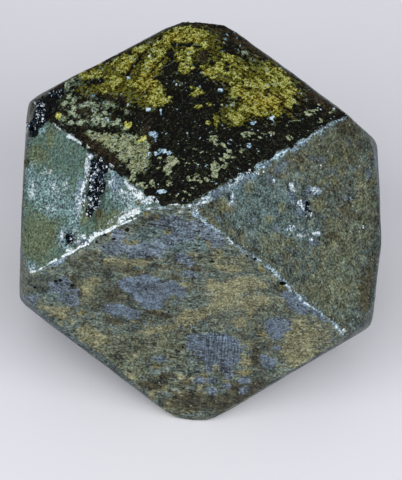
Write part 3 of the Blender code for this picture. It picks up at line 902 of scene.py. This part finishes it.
def metal_ground(nodes, grain):
    """The thin green-grey tarnish that lies everywhere, with flecks faint on the left face. The right
    face is painted darker, as painted shade.
    """
    colour = nodes.mix(grain.on_left, linear(88, 97, 86), linear(84, 110, 100))
    # Painted shade: the right face is painted darker than the front
    colour = nodes.mix(grain.on_right, colour, linear(72, 82, 73))
    level_flecks = nodes.grain(0.8, 5.0, 0.7, nodes.stretched((0.7, 1.0, 1.0)))
    upright_flecks = nodes.grain(0.7, 5.0, 0.7, nodes.stretched((1.0, 1.0, 0.7), UPRIGHT_TURN))
    flecks = nodes.mix_values(grain.on_right, level_flecks, upright_flecks)
    strength = nodes.mix_values(grain.on_left, 1.0, 0.25)
    for field, low, high, most, tone in (
        (grain.hue, 0.5, 0.38, 0.75, (92, 90, 66)),
        (grain.hue, 0.5, 0.62, 0.7, (80, 93, 94)),
        (flecks, 0.46, 0.39, 0.75, (58, 61, 49)),
        (flecks, 0.55, 0.62, 0.5, (114, 112, 86)),
    ):
        share = nodes.times(nodes.range(field, low, high, 0.0, most), strength)
        colour = nodes.mix(share, colour, linear(*tone))
    colour = nodes.mix(nodes.range(grain.broad, 0.45, 0.65, 0.0, 0.35), colour, linear(82, 97, 94))
    return nodes.mix(nodes.range(grain.broad, 0.5, 0.32, 0.0, 0.35), colour, linear(92, 92, 72))


def with_films(nodes, grain, colour):
    """Films of tarnish over one another, the blue and the rim partly painted sheen and shade. Some are
    thinner, or of another tone, on one face.
    """
    tones = {
        "olive": nodes.mix(grain.on_left, linear(97, 102, 78), linear(96, 104, 74)),
        "yellow": nodes.mix(grain.on_right, linear(112, 104, 60), linear(104, 104, 68)),
    }
    cloudy = nodes.range(grain.clouds, 0.4, 0.6, 0.85, 1.0)
    covers = {
        "olive": nodes.mix_values(grain.on_left, 0.5, 0.68),
        "slate": nodes.times(nodes.mix_values(grain.on_right, 0.95, 0.5), cloudy),
        "yellow": nodes.mix_values(grain.on_right, 0.6, 0.45),
    }
    for name, tone, most, amount, low, high in FILMS:
        share = nodes.times(nodes.ragged(name, grain.rim, amount, low, high), covers.get(name, most))
        colour = nodes.mix(share, colour, tones[name] if name in tones else linear(*tone))
    return colour


def with_chalk_and_highlight(nodes, grain, uneven, colour):
    """White chalk and painted highlight, in thin flecks, and in strands along the ridges."""
    chalk = nodes.mix(nodes.range(uneven, -0.25, 0.1), linear(120, 142, 150), linear(240, 248, 250))
    colour = nodes.mix(nodes.ragged("white", grain.rim, 1.8, 0.4, 0.85), colour, chalk)
    chalk = nodes.mix(nodes.range(grain.fine, 0.3, 0.6), linear(176, 194, 200), linear(240, 248, 250))
    return nodes.mix(nodes.ragged("strand", grain.rim, 1.3, 0.3, 0.8), colour, chalk)


def tarnished_metal(looks):
    """Lead-grey metal under a thin green-grey tarnish, with patches of other tarnish."""
    nodes = Palette("tarnished_galena")
    grain = metal_grains(nodes)
    uneven = metal_unevenness(nodes, grain)
    colour = with_films(nodes, grain, metal_ground(nodes, grain))
    # Rubbed metal on worn hidden edges, and a painted sheen of pale blue along the ridges
    rubbed_and_sheen = nodes.times(nodes.ragged("rubbed_and_sheen", grain.rim, 1.8, 0.25, 1.0), 0.85)
    wear_and_sheen_tone = nodes.mix(nodes.range(uneven, -0.2, 0.3), linear(92, 112, 126), linear(140, 168, 184))
    colour = nodes.mix(rubbed_and_sheen, colour, wear_and_sheen_tone)
    colour = nodes.mix(1.0, colour, metal_gain(nodes, grain, uneven), "MULTIPLY")
    colour = with_chalk_and_highlight(nodes, grain, uneven, colour)
    fresh = nodes.ragged("fresh", grain.rim, 0.8, 0.44, 0.56)
    for share, tone in (
        # Dark specks: painted shade of tiny pits
        (nodes.times(nodes.specks(0.42, 0.085, 0.5), 0.8), (10, 10, 9)),
        (nodes.times(nodes.specks(0.36, 0.075, 0.3), 0.6), (182, 188, 166)),
        (fresh, (14, 16, 20)),
        # Painted shade: the pinholes nearly black
        (nodes.ragged("pinhole", grain.fine, 0.5, 0.4, 0.6), (2, 2, 3)),
    ):
        colour = nodes.mix(share, colour, linear(*tone))
    rough = nodes.range(grain.hue, 0.3, 0.7, looks.roughness - 0.08, looks.roughness + 0.1)
    depth = looks.grain_depth
    return nodes.finish({
        "Base Color": colour,
        "Metallic": nodes.mix_values(fresh, 0.2, 0.6),
        "Roughness": nodes.mix_values(fresh, rough, 0.3),
        "Specular IOR Level": 0.2,
        "Normal": nodes.bumps((grain.fine, depth * 1.5), (grain.grit, depth * 2.0)),
    })


def crust_material(looks):
    """Near-black crust with olive, sage, moss and pale mineral grown on it."""
    nodes = Palette("dark_crust")
    fine = nodes.grain(0.11, 1.0, 0.6)
    small = nodes.grain(0.26, 3.0, 0.65)
    mid = nodes.grain(0.5, 3.0, 0.6)
    broad = nodes.grain(1.0, 4.0, 0.65)
    # The painted crest puts painted highlight on the crests and painted shade in the gaps
    uneven = nodes.total((fine, 2.3), (small, 1.0), (nodes.painted("crest"), 1.0), (1.0, -2.14))

    def grown(base, name, tones=None):
        """What has grown over the base, pale on its crests as a painted highlight, dark in its gaps as
        painted shade, and dark at its rim.
        """
        level = nodes.total((nodes.painted(name), 0.78), (uneven, 0.55))
        return nodes.ramp(base, level, GROWTH_TONES[tones or name])

    bare = nodes.total((uneven, 0.6), (1.0, 0.42))
    colour = nodes.ramp(linear(2, 2, 2), bare, GROWTH_TONES["bare"])
    # Painted glints: tiny pale specks on the black crust
    crust_glints = nodes.times(nodes.specks(0.31, 0.07, 0.25), 0.7)
    colour = nodes.mix(crust_glints, colour, linear(158, 172, 168))
    colour = grown(colour, "glaze")
    green, brown = (grown(colour, "moss", tones) for tones in ("green moss", "brown moss"))
    colour = nodes.mix(nodes.range(mid, 0.44, 0.56), green, brown)
    colour = grown(colour, "sage")
    green, golden = (grown(colour, "olive", tones) for tones in ("green olive", "golden olive"))
    brownness = nodes.maths("ADD", nodes.range(broad, 0.42, 0.58, 0.0, 0.35), nodes.painted("golden"))
    colour = nodes.mix(brownness, green, golden)
    for name in ("pale", "yellow", "sky"):
        colour = grown(colour, name)
    return nodes.finish({
        "Base Color": colour,
        "Roughness": looks.gloss,
        "Specular IOR Level": 0.12,
        "Normal": nodes.bumps((fine, 0.03), (small, 0.04)),
    })


def block_material():
    """Fresh cleavage: some blocks painted near white as glints, a painted highlight, others dark, some
    tinted blue.
    """
    nodes = Palette("fresh_cleavage")
    painted_glint_level = nodes.painted("painted_glint_level")
    # Painted highlight: the glinting blocks are painted near white
    colour = nodes.mix(nodes.range(painted_glint_level, 0.3, 0.8), linear(14, 15, 19), linear(236, 244, 250))
    return nodes.finish({
        "Base Color": nodes.mix(nodes.times(nodes.painted("blue"), 0.6), colour, linear(96, 132, 160)),
        "Metallic": nodes.mix_values(painted_glint_level, 0.8, 0.1),
        "Roughness": nodes.mix_values(nodes.grain(0.3), 0.22, 0.42),
    })


class GalenaLooks(bpy.types.PropertyGroup):
    shown_length: FloatProperty(
        name="Fine mesh", description="Length of mesh edges on the shown faces, in mm",
        default=0.125, min=0.08, max=1.0,
    )
    hidden_length: FloatProperty(
        name="Coarse mesh", description="Length of mesh edges on the other faces, in mm",
        default=0.42, min=0.1, max=1.0,
    )
    relief: FloatProperty(
        name="Relief", description="Height of the fine unevenness of the faces, in mm",
        default=0.022, min=0.0, max=0.2,
    )
    roughness: FloatProperty(
        name="Roughness", description="How matt the tarnish is", default=0.5, min=0.0, max=1.0,
        subtype="FACTOR",
    )
    grain_depth: FloatProperty(
        name="Grain depth", description="Depth of the grain in the tarnish, in mm",
        default=0.02, min=0.0, max=0.2,
    )


class CrustLooks(bpy.types.PropertyGroup):
    spacing: FloatProperty(
        name="Spacing", description="Distance between points of the crust's mesh, in mm",
        default=0.065, min=0.04, max=0.5,
    )
    base: FloatProperty(
        name="Thickness", description="Thickness of the black crust, in mm",
        default=0.05, min=0.0, max=0.5,
    )
    gloss: FloatProperty(
        name="Roughness", description="How matt the crust is", default=0.55, min=0.0, max=1.0,
        subtype="FACTOR",
    )


class StageLooks(bpy.types.PropertyGroup):
    floor_colour: FloatVectorProperty(
        name="Floor", description="Colour of the floor", subtype="COLOR", size=3,
        default=(0.885, 0.878, 0.935), min=0.0, max=1.0,
    )
    distance: FloatProperty(
        name="Camera distance", description="From the crystal's heart to the camera",
        default=1.0, min=0.1, max=5.0, unit="LENGTH",
    )
    key: FloatProperty(name="Key light", description="Power of the main light", default=1.3)
    fill: FloatProperty(name="Fill light", description="Power of the fill light", default=1.35)
    sky: FloatProperty(name="Sky", description="Strength of the light all round", default=0.33)
    seed: IntProperty(name="Seed", description="Start of the random draws", default=7)


def triangulate_evenly(piece, wanted_length):
    """Split every edge that is longer than wanted where it lies, until none is left."""
    most_rounds = 7
    slack = 1.4
    with editing(piece, "EDGE"):
        for _ in range(most_rounds):
            bpy.ops.mesh.select_all(action="DESELECT")
            bm = bmesh.from_edit_mesh(piece.data)
            bm.verts.index_update()
            length = wanted_length(np.array([vert.co[:] for vert in bm.verts])) * MM * slack
            too_long = [
                edge for edge in bm.edges
                if edge.calc_length() > max(length[vert.index] for vert in edge.verts)
            ]
            if not too_long:
                break
            for edge in too_long:
                edge.select_set(True)
            bpy.ops.mesh.subdivide(number_cuts=1)
            bpy.ops.mesh.select_all(action="SELECT")
            bpy.ops.mesh.quads_convert_to_tris(quad_method="SHORTEST_DIAGONAL")
            bpy.ops.mesh.beautify_fill(angle_limit=math.radians(1.0))


def soften(piece, rounds):
    """Smooth the slow bends of the surface, but keep the sharp steps of the breaks."""
    with editing(piece) as bm:
        sharp = {
            vert
            for edge in bm.edges
            if edge.is_manifold and edge.calc_face_angle() > SHARP_STEP
            for vert in edge.verts
        }
        for vert in bm.verts:
            vert.select_set(vert not in sharp and vert.co.z > FOOT)
        bm.select_flush_mode()
        bpy.ops.mesh.vertices_smooth(factor=0.5, repeat=rounds)


def copy_of_solid(name):
    """A new piece with the solid's shape, its loose triangles joined up."""
    piece = bpy.data.objects.new(name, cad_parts[NODE].data.copy())
    bpy.context.scene.collection.objects.link(piece)
    piece.data.materials.clear()
    with editing(piece, action="SELECT"):
        bpy.ops.mesh.remove_doubles(threshold=SAME_PLACE)
    return piece


class GALENA_OT_crystal(bpy.types.Operator):
    """Model the crystal's surface with its tarnish, ridges and breaks"""

    bl_idname = "galena.crystal"
    bl_label = "Crystal"

    def execute(self, context):
        looks = context.scene.galena_looks
        piece = copy_of_solid("crystal")

        def wanted(places):
            shares, _ = face_shares(places)
            return np.where(share_on(shares, SHOWN) > 0.02, looks.shown_length, looks.hidden_length)

        triangulate_evenly(piece, wanted)
        soften(piece, rounds=6)
        self.raise_relief(piece, looks)
        self.paint(piece)
        piece.data.materials.append(tarnished_metal(looks))
        piece.data.shade_smooth()
        make_active(piece)
        bpy.ops.object.shade_smooth_by_angle(angle=SHARP_LOOK)
        settle(piece)
        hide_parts(NODE)
        return {"FINISHED"}

    @staticmethod
    def raise_relief(piece, looks):
        places = rows_of(piece.data, "co")
        seen = in_picture(places)
        shares, gap = face_shares(places)
        height = looks.relief * noise_at(places, 0.5, 3, 3)
        height += looks.relief * 1.3 * noise_at(places, 1.6, 5)
        near_shown = share_on(shares, SHOWN + ("top",))
        for _, points, _, _ in RIDGES:
            height += RIDGE_HEIGHT * bell(distance_to_line(seen, points) / 1.6) * near_shown
        height -= PINHOLE_DEPTH * pinhole_depth(seen) * share_on(shares, SHOWN)
        height -= TRAY_DEPTH * shares["top"] * smooth_step(0.1, 0.5, gap)
        above_foot = smooth_step(0.0, 1.2, places[:, 2] / MM)
        moved = places + rows_of(piece.data, "normal") * (height * above_foot * MM)[:, None]
        moved[:, 2] = np.maximum(moved[:, 2], 0.0)
        write_places(piece.data, moved)

    @staticmethod
    def paint(piece):
        mesh = piece.data
        places = rows_of(mesh, "co")
        seen = in_picture(places)
        shares, gap = face_shares(places)
        shown = share_on(shares, SHOWN)
        near_shown = share_on(shares, SHOWN + ("top",))
        hidden = 1.0 - near_shown
        wobble = 0.4 * noise_at(places, 0.8, 11, 4)
        quick = noise_at(places, 0.4, 12, 3)
        patchy = noise_at(places, 0.8, 13, 2)
        broad = [noise_at(places, breadth, seed) for breadth, seed in HIDDEN_WAVES]

        # On the hidden faces each tarnish lies where a broad noise is between low and high
        for name, field, low, high in (
            ("slate", broad[0], 0.30, 0.55),
            ("lilac", broad[0], 0.20, 0.45),
            ("beige", broad[1], 0.25, 0.60),
            ("brown", broad[2], 0.45, 0.75),
            ("olive", broad[3], 0.10, 0.50),
            ("turquoise", broad[4], 0.55, 0.85),
            ("blue", broad[1], 0.60, 0.85),
            ("yellow", broad[2] * broad[0], 0.42, 0.55),
            ("teal", broad[0], 0.55, 0.85),
            ("shade", broad[4], 0.20, 0.70),
        ):
            uneven, edge = 0.75 * wobble + 0.3 * quick, 0.6
            if name == "slate":
                uneven, edge = 0.3 * wobble + 0.25 * quick, 0.3
            cover = covered(seen, PATCHES[name], uneven, edge, shares)
            write_attribute(mesh, name, np.maximum(cover, hidden * smooth_step(low, high, field)))

        # The white is chalk and painted highlight
        white = 0.9 * covered(seen, WHITE, wobble, 0.7, shares)
        thin_white = 0.55 * covered(seen, WHITE_FLECKS, wobble, 0.8, shares)
        worn_edge = bell(gap / 0.3) * hidden
        rubbed_and_sheen = 0.4 * worn_edge * smooth_step(-0.1, 0.6, broad[0])
        rim = worn_edge * smooth_step(0.1, -0.5, broad[0])
        strand = np.zeros(len(seen))
        # Along the ridges a white strand, chalk and painted highlight, and a band of painted blue sheen
        for _, points, whiteness, blueness in RIDGES:
            away = distance_to_line(seen, points) / np.clip(1.0 + 1.2 * wobble, 0.35, 1.8)
            core = (1.0 - smooth_step(0.3, 1.5, away)) * near_shown
            broken_up = np.clip(1.0 + (1.9 - whiteness) * patchy + 0.5 * quick, 0.0, 1.2)
            strand = np.maximum(strand, core * whiteness * broken_up)
            band = bell(away / (1.0 + 1.4 * blueness)) * near_shown
            rubbed_and_sheen = np.maximum(rubbed_and_sheen, band * blueness * np.clip(0.85 + 0.6 * patchy, 0.3, 1.0))
        # Painted shade along the outline
        for _, points in RIMS:
            rim = np.maximum(rim, bell(distance_to_line(seen, points)))

        breaks = [(name, (x, y, 1.1 * wide, 1.05 * high)) for name, x, y, wide, high, _, _ in BREAKS]
        broken = covered(seen, (*BROKEN_CORNER, *breaks), 0.7 * wobble, 0.5)
        # The same places of the picture are also seen through the crystal, far below or behind
        farthest, lowest = 3.0 * MM, 8.0 * MM
        near_side = (places[:, 1] < farthest) * (places[:, 2] > lowest)
        for name, values in (
            ("white", np.maximum(white, thin_white)), ("strand", strand), ("rubbed_and_sheen", rubbed_and_sheen),
            ("rim", rim), ("left_face", shares["left"]), ("right_face", shares["right"]),
            ("scratched", covered(seen, SCRATCHED, wobble, 0.3, shares)),
            # Painted shade in the pinholes
            ("pinhole", np.clip(1.5 * pinhole_depth(seen), 0, 1) * shown),
            ("fresh", broken * near_side),
        ):
            write_attribute(mesh, name, values)


def crust_grains(places, seen):
    """Noises that tell one grain of the crust from the next."""

    def drawn_out(degrees, seed):
        """Noise drawn out in one direction of the top face."""
        along, beside = turned(places[:, 0], places[:, 1], math.radians(degrees))
        return noise_at(np.column_stack((0.3 * along, beside, places[:, 2])), 0.2, seed, 3)

    right_half = smooth_step(*RIGHT_GRAIN, seen[:, 0])
    slow = noise_at(places, 0.6, 31, 3)
    quick = noise_at(places, 0.22, 32, 3)
    return SimpleNamespace(
        slow=slow,
        quick=quick,
        fine=noise_at(places, 0.13, 33, 2),
        wobble=0.45 * slow + 0.3 * quick,
        lumps=cells_at(places, 0.5, 4),
        crumbs=cells_at(places, 0.6, 9),
        strewn=noise_at(places, 0.9, 35, 3),
        threads=1.0 - 2.2 * np.abs(noise_at(places, 0.34, 36, 3)),
        wrinkles=drawn_out(60, 37) * (1.0 - right_half) + drawn_out(-40, 38) * right_half,
    )


def crust_growths(seen, grain):
    """By mineral, how far it covers each place of the crust, from 0 to 1."""
    flakes = 0.3 * grain.quick + 0.25 * grain.slow + 0.25 * grain.wrinkles + 0.12 * grain.fine

    def grown(patches, least, most, edge=0.9):
        """Where something has grown, fraying into flakes at its rim."""
        cover = covered(seen, patches, 0.5 * grain.wobble, edge)
        return smooth_step(least, most, 0.9 * cover + flakes)

    bare = 1.0 - 0.85 * covered(seen, CRUST["gaps"], 0.8 * grain.wobble, 0.6)
    veil = grown(CRUST["veil"], 0.0, 0.8)
    sage = np.maximum(grown(CRUST["sage"], 0.26, 0.7, 0.8), 0.85 * grown(SAGE_FIELD, 0.4, 0.85))
    parted = 1.0 - 0.7 * smooth_step(0.56, 0.76, grain.lumps + 0.12 * grain.quick)
    moss = grown(CRUST["moss"], 0.2, 0.7) * bare
    crumbs = smooth_step(0.3, 0.2, grain.crumbs + 0.1 * grain.quick)
    crumbs *= smooth_step(0.0, 0.4, grain.strewn) * smooth_step(*CRUMBS_BELOW, seen[:, 1])
    return {
        "olive": np.maximum(grown(CRUST["olive"], 0.15, 0.65), 0.66 * veil) * bare,
        "sage": np.maximum(sage * bare * parted, 0.46 * grown(SAGE_FIELD, 0.05, 0.7, 1.3)),
        "moss": np.maximum(moss, 0.46 * grown(CRUST["moss"], 0.05, 0.6, 1.4)),
        "pale": np.maximum(grown(CRUST["pale"], 0.38, 0.8, 0.6), 0.9 * crumbs),
        "yellow": grown(CRUST["yellow"], 0.3, 0.6, 0.6),
        "sky": grown(CRUST["sky"], 0.3, 0.6, 0.6),
        "glaze": covered(seen, CRUST["glaze"], grain.wobble, 0.5),
        "golden": 0.65 * covered(seen, CRUST["golden"], grain.wobble, 0.6),
    }


def crust_height(seen, grain, grown, rim, base):
    """Height of the crust over the crystal, in mm. The rim is the distance to its outline."""
    fine = grain.fine
    bumps = np.maximum(grown["pale"], np.maximum(grown["yellow"], grown["sky"]))
    height = (1.0 - grown["glaze"]) * (0.05 * np.maximum(fine, 0) + 0.02 * fine)
    height += grown["olive"] * (0.05 + 0.06 * np.clip(grain.threads, 0, 1) + 0.05 * fine)
    height += grown["sage"] * (0.07 + 0.08 * (0.5 - grain.lumps) + 0.04 * fine)
    height += grown["moss"] * (0.07 + 0.06 * grain.quick + 0.03 * fine)
    height += bumps * (0.12 + 0.05 * fine)
    height = base + height * smooth_step(0.05, 0.6, rim)
    height = np.where(covered(seen, BROKEN_CORNER, grain.wobble) > 0.4, BROKEN_LEVEL, height)
    frayed_rim = rim + 0.25 * grain.slow * smooth_step(*FRAYED_BELOW, seen[:, 1])
    height = RIM_LEVEL + (height - RIM_LEVEL) * smooth_step(0.02, 0.22, frayed_rim)
    return height + TRAY_DEPTH * smooth_step(0.1, 0.5, rim)


def crust_light_and_shade(grain, grown):
    """Painted light and shade on the crust: a painted highlight on the crests of the grains, and
    painted shade in the gaps between them.
    """
    olive = grown["olive"]
    crest = 0.45 + 0.35 * grain.quick + 0.45 * grain.fine + 0.5 * grain.wrinkles
    crest += 0.35 * bell((olive - 0.5) / 0.14) + 0.3 * olive * (np.clip(grain.threads, -1, 1) - 0.2)
    crest += grown["sage"] * (0.45 - 0.6 * grain.lumps) + grown["moss"] * (0.1 + 0.4 * grain.slow)
    return crest


class GALENA_OT_crust(bpy.types.Operator):
    """Grow the dark crust and its coloured lumps on the top face"""

    bl_idname = "galena.crust"
    bl_label = "Crust"

    def execute(self, context):
        looks = context.scene.galena_crust
        deselect_all()
        bpy.ops.mesh.primitive_grid_add(
            x_subdivisions=round(SHEET_WIDE / looks.spacing),
            y_subdivisions=round(SHEET_DEEP / looks.spacing),
            size=1.0,
            location=(HEART + SHEET_FROM_HEART) * MM,
        )
        piece = context.object
        piece.name = "crust"
        piece.scale = (SHEET_WIDE * MM, SHEET_DEEP * MM, 1.0)
        bpy.ops.object.transform_apply(location=True, rotation=True, scale=True)
        self.trim(piece)
        self.drop_on_crystal(piece)
        self.build_up(piece, looks)
        self.close_below(piece)
        piece.data.materials.append(crust_material(looks))
        piece.data.shade_smooth()
        settle(piece)
        return {"FINISHED"}

    @staticmethod
    def trim(piece):
        """Cut the sheet along the faces that meet the top face."""
        top_direction, top_distance = FACES["top"]
        top_height = (Vector(top_direction).normalized() * top_distance).z
        with editing(piece):
            for name in MEET_THE_TOP:
                direction, distance = FACES[name]
                normal = Vector(direction).normalized()
                flat = Vector((normal.x, normal.y, 0.0))
                reach = (distance - normal.z * top_height) / flat.length - TRIM
                flat.normalize()
                bpy.ops.mesh.select_all(action="SELECT")
                bpy.ops.mesh.bisect(
                    plane_co=(HEART + flat * reach) * MM, plane_no=flat, clear_outer=True,
                )

    @staticmethod
    def drop_on_crystal(piece):
        """Lay the sheet on the crystal, and drop what lies beside its top face."""
        make_active(piece)
        wrap = piece.modifiers.new("drop", "SHRINKWRAP")
        wrap.target = bpy.data.objects["crystal"]
        wrap.wrap_method = "PROJECT"
        wrap.use_project_z = True
        wrap.use_negative_direction = True
        wrap.use_positive_direction = False
        bpy.ops.object.modifier_apply(modifier=wrap.name)
        over_top = heights_over_faces(rows_of(piece.data, "co"))["top"]
        with editing(piece) as bm:
            for vert, height in zip(bm.verts, over_top):
                vert.select_set(abs(height) > OFF_THE_TOP)
            bpy.ops.mesh.delete(type="VERT")

    @staticmethod
    def build_up(piece, looks):
        places = rows_of(piece.data, "co")
        seen = in_picture(places)
        grain = crust_grains(places, seen)
        grown = crust_growths(seen, grain)
        heights = heights_over_faces(places)
        rim = -np.max([height for name, height in heights.items() if name != "top"], axis=0)
        places[:, 2] += crust_height(seen, grain, grown, rim, looks.base) * MM
        write_places(piece.data, places)
        for name, values in grown.items():
            write_attribute(piece.data, name, values)
        # Painted light and shade of the grains, kept under the name crest
        write_attribute(piece.data, "crest", crust_light_and_shade(grain, grown))

    @staticmethod
    def close_below(piece):
        """Give the sheet walls and an underside, hidden in the crystal."""
        with editing(piece, "EDGE"):
            bpy.ops.mesh.select_non_manifold(extend=False)
            bpy.ops.mesh.extrude_edges_move(TRANSFORM_OT_translate={"value": (0, 0, WALL_DOWN)})
            bpy.ops.mesh.edge_face_add()
            bpy.ops.mesh.select_all(action="SELECT")
            bpy.ops.mesh.normals_make_consistent(inside=False)


class GALENA_OT_blocks(bpy.types.Operator):
    """Fill the breaks with little cleavage blocks"""

    bl_idname = "galena.blocks"
    bl_label = "Cleavage blocks"

    def execute(self, context):
        template = self.one_block()
        corners = [vert.co.copy() for vert in template.data.vertices]
        sides = [tuple(face.vertices) for face in template.data.polygons]
        bpy.data.objects.remove(template, do_unlink=True)
        crystal = bpy.data.objects["crystal"]
        surface = BVHTree.FromObject(crystal, context.evaluated_depsgraph_get())
        draw = random.Random(context.scene.galena_stage.seed)
        points, faces, painted_glint_level, blue = [], [], [], []
        for cluster in BREAKS + GLINTS:
            name, x, y, half_wide, half_high, count, share = cluster
            dimmest = 0.0 if cluster in BREAKS or "corner" in name else 0.3
            for _ in range(count):
                angle = draw.uniform(0, math.tau)
                reach = math.sqrt(draw.random())
                start = on_sight_line(
                    x + half_wide * reach * math.cos(angle),
                    y + half_high * reach * math.sin(angle),
                )
                place, normal, _, _ = surface.ray_cast(start + VIEW_OUT * OUTSIDE * MM, -VIEW_OUT)
                if place is None:
                    continue
                size = draw.uniform(*BLOCK_SIZES) * MM
                turn = (
                    Matrix.Rotation(draw.gauss(0, BLOCK_TILT), 3, "X")
                    @ Matrix.Rotation(draw.gauss(0, BLOCK_TILT), 3, "Y")
                    @ Matrix.Rotation(draw.choice((0, 1, 2, 3)) * math.pi / 2, 3, "Z")
                )
                scale = Vector([draw.uniform(*span) for span in BLOCK_STRETCH])
                middle = place - normal * size * draw.uniform(*BLOCK_SUNK)
                # The ones with a painted glint lie in streaks
                streak = 1.5 if noise.noise(place / (0.5 * MM)) > 0.0 else 0.3
                bright = draw.random() < share * streak
                span = (0.75, 1.0) if bright else (dimmest, dimmest + 0.25)
                # One draw for each corner, and the block takes the first
                glint_of_block = [draw.uniform(*span) for _ in corners][0]
                tint = float(draw.random() < 0.3)
                faces.extend(tuple(len(points) + number for number in side) for side in sides)
                points.extend(middle + turn @ (corner * scale * size) for corner in corners)
                painted_glint_level.extend([glint_of_block] * len(corners))
                blue.extend([tint] * len(corners))
        mesh = bpy.data.meshes.new("cleavage_blocks")
        mesh.from_pydata([tuple(np.clip(point, *CAD_BOX)) for point in points], [], faces)
        piece = bpy.data.objects.new("cleavage_blocks", mesh)
        context.scene.collection.objects.link(piece)
        write_attribute(mesh, "painted_glint_level", np.array(painted_glint_level))
        write_attribute(mesh, "blue", np.array(blue))
        mesh.materials.append(block_material())
        settle(piece)
        return {"FINISHED"}

    @staticmethod
    def one_block():
        """A cube with a step on its top."""
        deselect_all()
        bpy.ops.mesh.primitive_cube_add(size=1.0, location=(0, 0, 0))
        piece = bpy.context.object
        step, step_height = 0.12, 0.22
        with editing(piece, "EDGE", "SELECT"):
            bpy.ops.mesh.bisect(plane_co=(step, 0, 0), plane_no=(1, 0, 0))
            bpy.ops.mesh.select_all(action="DESELECT")
            bpy.ops.mesh.select_mode(type="FACE")
            for face in bmesh.from_edit_mesh(piece.data).faces:
                face.select_set(face.normal.z > 0.9 and face.calc_center_median().x > step)
            bpy.ops.mesh.extrude_region_move(TRANSFORM_OT_translate={"value": (0, 0, step_height)})
            bpy.ops.mesh.select_all(action="SELECT")
            bpy.ops.mesh.normals_make_consistent(inside=False)
        return piece


class GALENA_OT_stage(bpy.types.Operator):
    """Lay the floor and set the lights and the camera"""

    bl_idname = "galena.stage"
    bl_label = "Stage"

    def execute(self, context):
        looks = context.scene.galena_stage
        self.lay_floor(looks)
        self.set_lights(context, looks)
        self.set_camera(context, looks)
        return {"FINISHED"}

    @staticmethod
    def lay_floor(looks):
        deselect_all()
        bpy.ops.mesh.primitive_plane_add(size=3.0, location=(0, 0, 0))
        floor = bpy.context.object
        floor.name = "floor"
        finish = {"Base Color": tuple(looks.floor_colour), "Roughness": 0.8}
        floor.data.materials.append(Palette("pale_floor").finish(finish))

    @staticmethod
    def set_lights(context, looks):
        world = bpy.data.worlds.new("soft_sky")
        world.use_nodes = True
        backdrop = world.node_tree.nodes["Background"]
        backdrop.inputs["Color"].default_value = (0.93, 0.96, 1.0, 1.0)
        backdrop.inputs["Strength"].default_value = looks.sky
        context.scene.world = world
        for name, way, size, power in (
            ("key_light", (-0.45, -0.9, 0.95), 0.35, looks.key),
            ("fill_light", (0.75, -0.85, 0.85), 0.4, looks.fill),
        ):
            data = bpy.data.lights.new(name, "AREA")
            data.size = size
            data.energy = power
            light = bpy.data.objects.new(name, data)
            context.scene.collection.objects.link(light)
            direction = Vector(way).normalized()
            light.location = HEART * MM + direction * LIGHT_DISTANCE
            light.rotation_euler = direction.to_track_quat("Z", "Y").to_euler()

    @staticmethod
    def set_camera(context, looks):
        data = bpy.data.cameras.new("camera")
        data.sensor_fit = "AUTO"
        data.sensor_width = 36.0
        data.lens = data.sensor_width * looks.distance / (PICTURE_HIGH / PIXELS_PER_MM * MM)
        data.clip_end = 10.0
        camera = bpy.data.objects.new("camera", data)
        context.scene.collection.objects.link(camera)
        right = Vector((math.cos(PICTURE_TURN), 0, 0)) + VIEW_UP * math.sin(PICTURE_TURN)
        up = VIEW_UP * math.cos(PICTURE_TURN) - Vector((math.sin(PICTURE_TURN), 0, 0))
        middle = on_sight_line(PICTURE_WIDE / 2, PICTURE_HIGH / 2)
        facing = Matrix((right, up, VIEW_OUT)).transposed().to_4x4()
        camera.matrix_world = Matrix.Translation(middle + VIEW_OUT * looks.distance) @ facing
        context.scene.camera = camera
        context.scene.view_settings.view_transform = "Standard"


class GALENA_PT_panel(bpy.types.Panel):
    """Lists the pieces and what can be changed on them"""

    bl_label = "Galena crystal"
    bl_idname = "GALENA_PT_panel"
    bl_space_type = "VIEW_3D"
    bl_region_type = "UI"
    bl_category = "Galena"

    def draw(self, context):
        scene = context.scene
        for title, group, operators in (
            ("Crystal", scene.galena_looks, ("galena.crystal", "galena.blocks")),
            ("Crust", scene.galena_crust, ("galena.crust",)),
            ("Stage", scene.galena_stage, ("galena.stage",)),
        ):
            box = self.layout.box()
            box.label(text=title)
            for name in group.__annotations__:
                box.prop(group, name)
            for operator in operators:
                box.operator(operator)


GROUPS = (
    ("galena_looks", GalenaLooks),
    ("galena_crust", CrustLooks),
    ("galena_stage", StageLooks),
)
OPERATORS = (GALENA_OT_crystal, GALENA_OT_crust, GALENA_OT_blocks, GALENA_OT_stage)


def register():
    for name, group in GROUPS:
        bpy.utils.register_class(group)
        setattr(bpy.types.Scene, name, PointerProperty(type=group))
    for operator in OPERATORS:
        bpy.utils.register_class(operator)
    bpy.utils.register_class(GALENA_PT_panel)


def unregister():
    bpy.utils.unregister_class(GALENA_PT_panel)
    for operator in reversed(OPERATORS):
        bpy.utils.unregister_class(operator)
    for name, group in reversed(GROUPS):
        delattr(bpy.types.Scene, name)
        bpy.utils.unregister_class(group)


def main():
    register()
    bpy.ops.galena.stage()
    bpy.ops.galena.crystal()
    bpy.ops.galena.crust()
    bpy.ops.galena.blocks()


if __name__ == "__main__":
    main()
